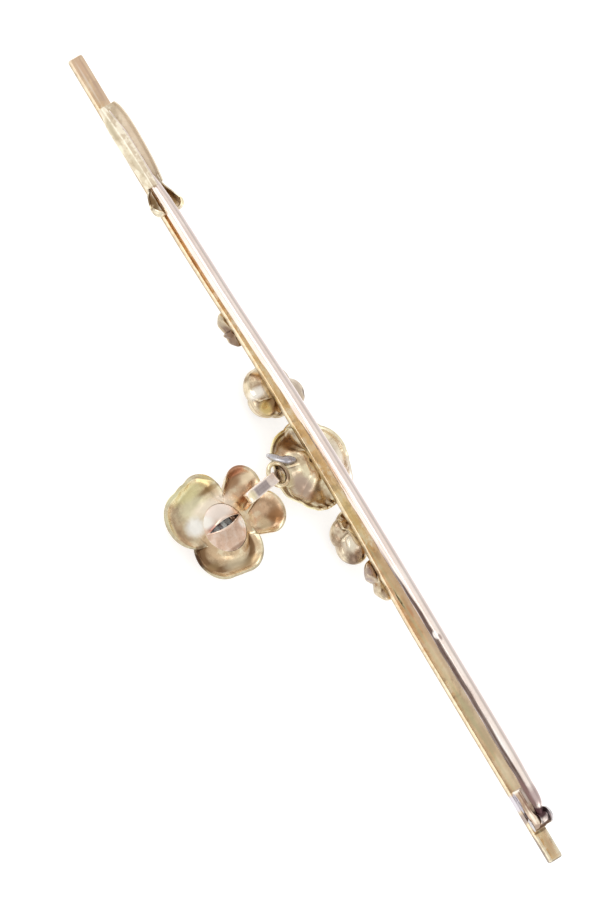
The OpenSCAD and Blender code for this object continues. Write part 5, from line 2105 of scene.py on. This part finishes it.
    hanging = PressedFlower(
        "hanging_flower", "drop_flower", "drop_gold", Finishes.DROP, (1.05, -10.8),
        (Petal(((233, 3.44, 2.65), (211.5, 3.05, 2.42), (188, 3.16, 2.15)), 1.4, 0.0, 0.25),
         Petal(((310, 2.27, 2.60), (337.4, 1.86, 2.50), (9, 1.99, 2.40)), 0.6, 0.1, 1.5),
         Petal(((120.5, 4.54, 1.80),), 0.2, 0.9), Petal(((82, 4.65, 1.95),), 0.0, 1.0)),
        3.3,
        ((0.00, 0.58, 0.30), (0.22, 0.52, 0.34), (0.50, 0.48, 0.32), (0.74, 0.50, 0.34), (0.88, 0.55, 0.42),
         (0.96, 0.59, 0.52), (1.00, 0.60, 0.58)),
        hole=2.165, steps=420, rim_height=0.06, rim_width=0.22, bowl=0.16, step=0.07, ripple=0.05, apart_from=0.12,
        crumple=0.012,
        dents=(Dent(-4.9, -1.7, (0.18, 0.18), 0.1, 0.9), Dent(-4.3, 0.3, (0.6, 1.5), -0.12, 0.0, 25),
               Dent(-3.6, 0.75, (0.25, 1.3), 0.08, 0.7, 15), Dent(-3.6, -2.9, (0.4, 1.6), 0.05, 0.3, 40),
               Dent(0.9, -2.9, (0.5, 0.9), 0.08, 0.4, 30), Dent(1.7, -4.1, (1.3, 0.35), 0.06, 0.9, 20),
               Dent(-3.2, 3.6, (0.3, 1.1), 0.06, 0.6, 20), Dent(-2.4, 4.9, (0.3, 0.9), -0.07, 0.0, 20),
               Dent(1.4, 5.3, (0.9, 0.3), 0.08, 0.8, 60)),
        stains_and_painted_light=(((-2.75, -1.5, 1.3), (1.0, 1.6, 0.8), (0.93, 0.88, 0.60), 0.7, 0.25, 1.0),
                ((-2.2, -0.4, 1.3), (0.6, 1.7, 0.8), (0.96, 0.84, 0.70), 0.8, 0.25, 1.0),
                ((-1.3, -2.5, 1.3), (0.8, 0.9, 0.8), (1.0, 0.98, 0.92), 0.95, 0.2, 0.9),
                ((-4.2, -1.5, 1.4), (0.7, 1.8, 0.8), (0.90, 0.84, 0.42), 0.6, 0.25, 1.0),
                ((-4.5, 1.0, 1.4), (0.7, 0.8, 0.8), (0.78, 0.64, 0.30), 0.6, 0.3, 1.0),
                ((-3.5, 0.8, 1.3), (0.22, 1.2, 0.8), (0.34, 0.22, 0.10), 0.75, 0.3, 1.0),
                ((-1.9, 1.4, 1.3), (0.9, 0.9, 0.8), (0.90, 0.76, 0.62), 0.7, 0.3, 1.0),
                ((1.2, -4.3, 1.4), (1.1, 0.5, 0.8), (0.10, 0.05, 0.025), 1.0, 0.35, 0.8),
                ((0.45, -3.5, 1.4), (0.25, 0.8, 0.8), (0.20, 0.12, 0.06), 0.85, 0.3, 0.9),
                ((-4.35, -2.9, 1.5), (0.4, 1.2, 0.8), (0.97, 0.94, 0.62), 0.7, 0.2, 1.0),
                ((-2.4, -4.8, 1.5), (1.1, 0.35, 0.8), (0.94, 0.90, 0.60), 0.7, 0.2, 1.0),
                ((3.55, 0.3, 1.4), (0.35, 1.9, 0.8), (0.38, 0.27, 0.15), 0.8, 0.3, 1.0),
                ((2.4, -3.2, 1.4), (0.35, 1.0, 0.8), (0.36, 0.24, 0.12), 0.8, 0.3, 1.0),
                ((3.0, -0.6, 1.3), (0.5, 1.2, 0.8), (0.84, 0.72, 0.50), 0.6, 0.3, 1.0),
                ((-3.8, 4.0, 1.5), (0.5, 1.2, 0.8), (0.46, 0.21, 0.12), 0.9, 0.3, 0.9),
                ((-2.7, 4.7, 1.4), (0.4, 0.9, 0.8), (0.95, 0.80, 0.56), 0.7, 0.3, 0.9),
                ((-2.9, 3.2, 1.3), (0.35, 1.1, 0.8), (0.38, 0.21, 0.11), 0.8, 0.3, 0.9),
                ((1.4, 5.4, 1.4), (0.7, 0.8, 0.8), (0.32, 0.16, 0.07), 0.9, 0.3, 0.9),
                ((1.5, 4.0, 1.3), (0.7, 0.6, 0.8), (0.72, 0.58, 0.36), 0.6, 0.3, 0.9)))
    return [open_flower, left_rose, right_rose, left_leaf, right_leaf, hanging]


def main() -> None:
    """Builds the pieces in order, then the studio."""
    logging.basicConfig(level=logging.INFO, format="%(name)s: %(message)s")
    BarStrip().build()
    CatchLeaf().build()
    PinStem().build()
    HingeSeat().build()
    Rivet().build()
    for flower in flowers():
        flower.build()
    FlowerRing().build()
    Bail().build()
    DropSetting().build()
    Studio().build()
    log.info("the brooch is dressed")


if __name__ == "__main__":
    main()
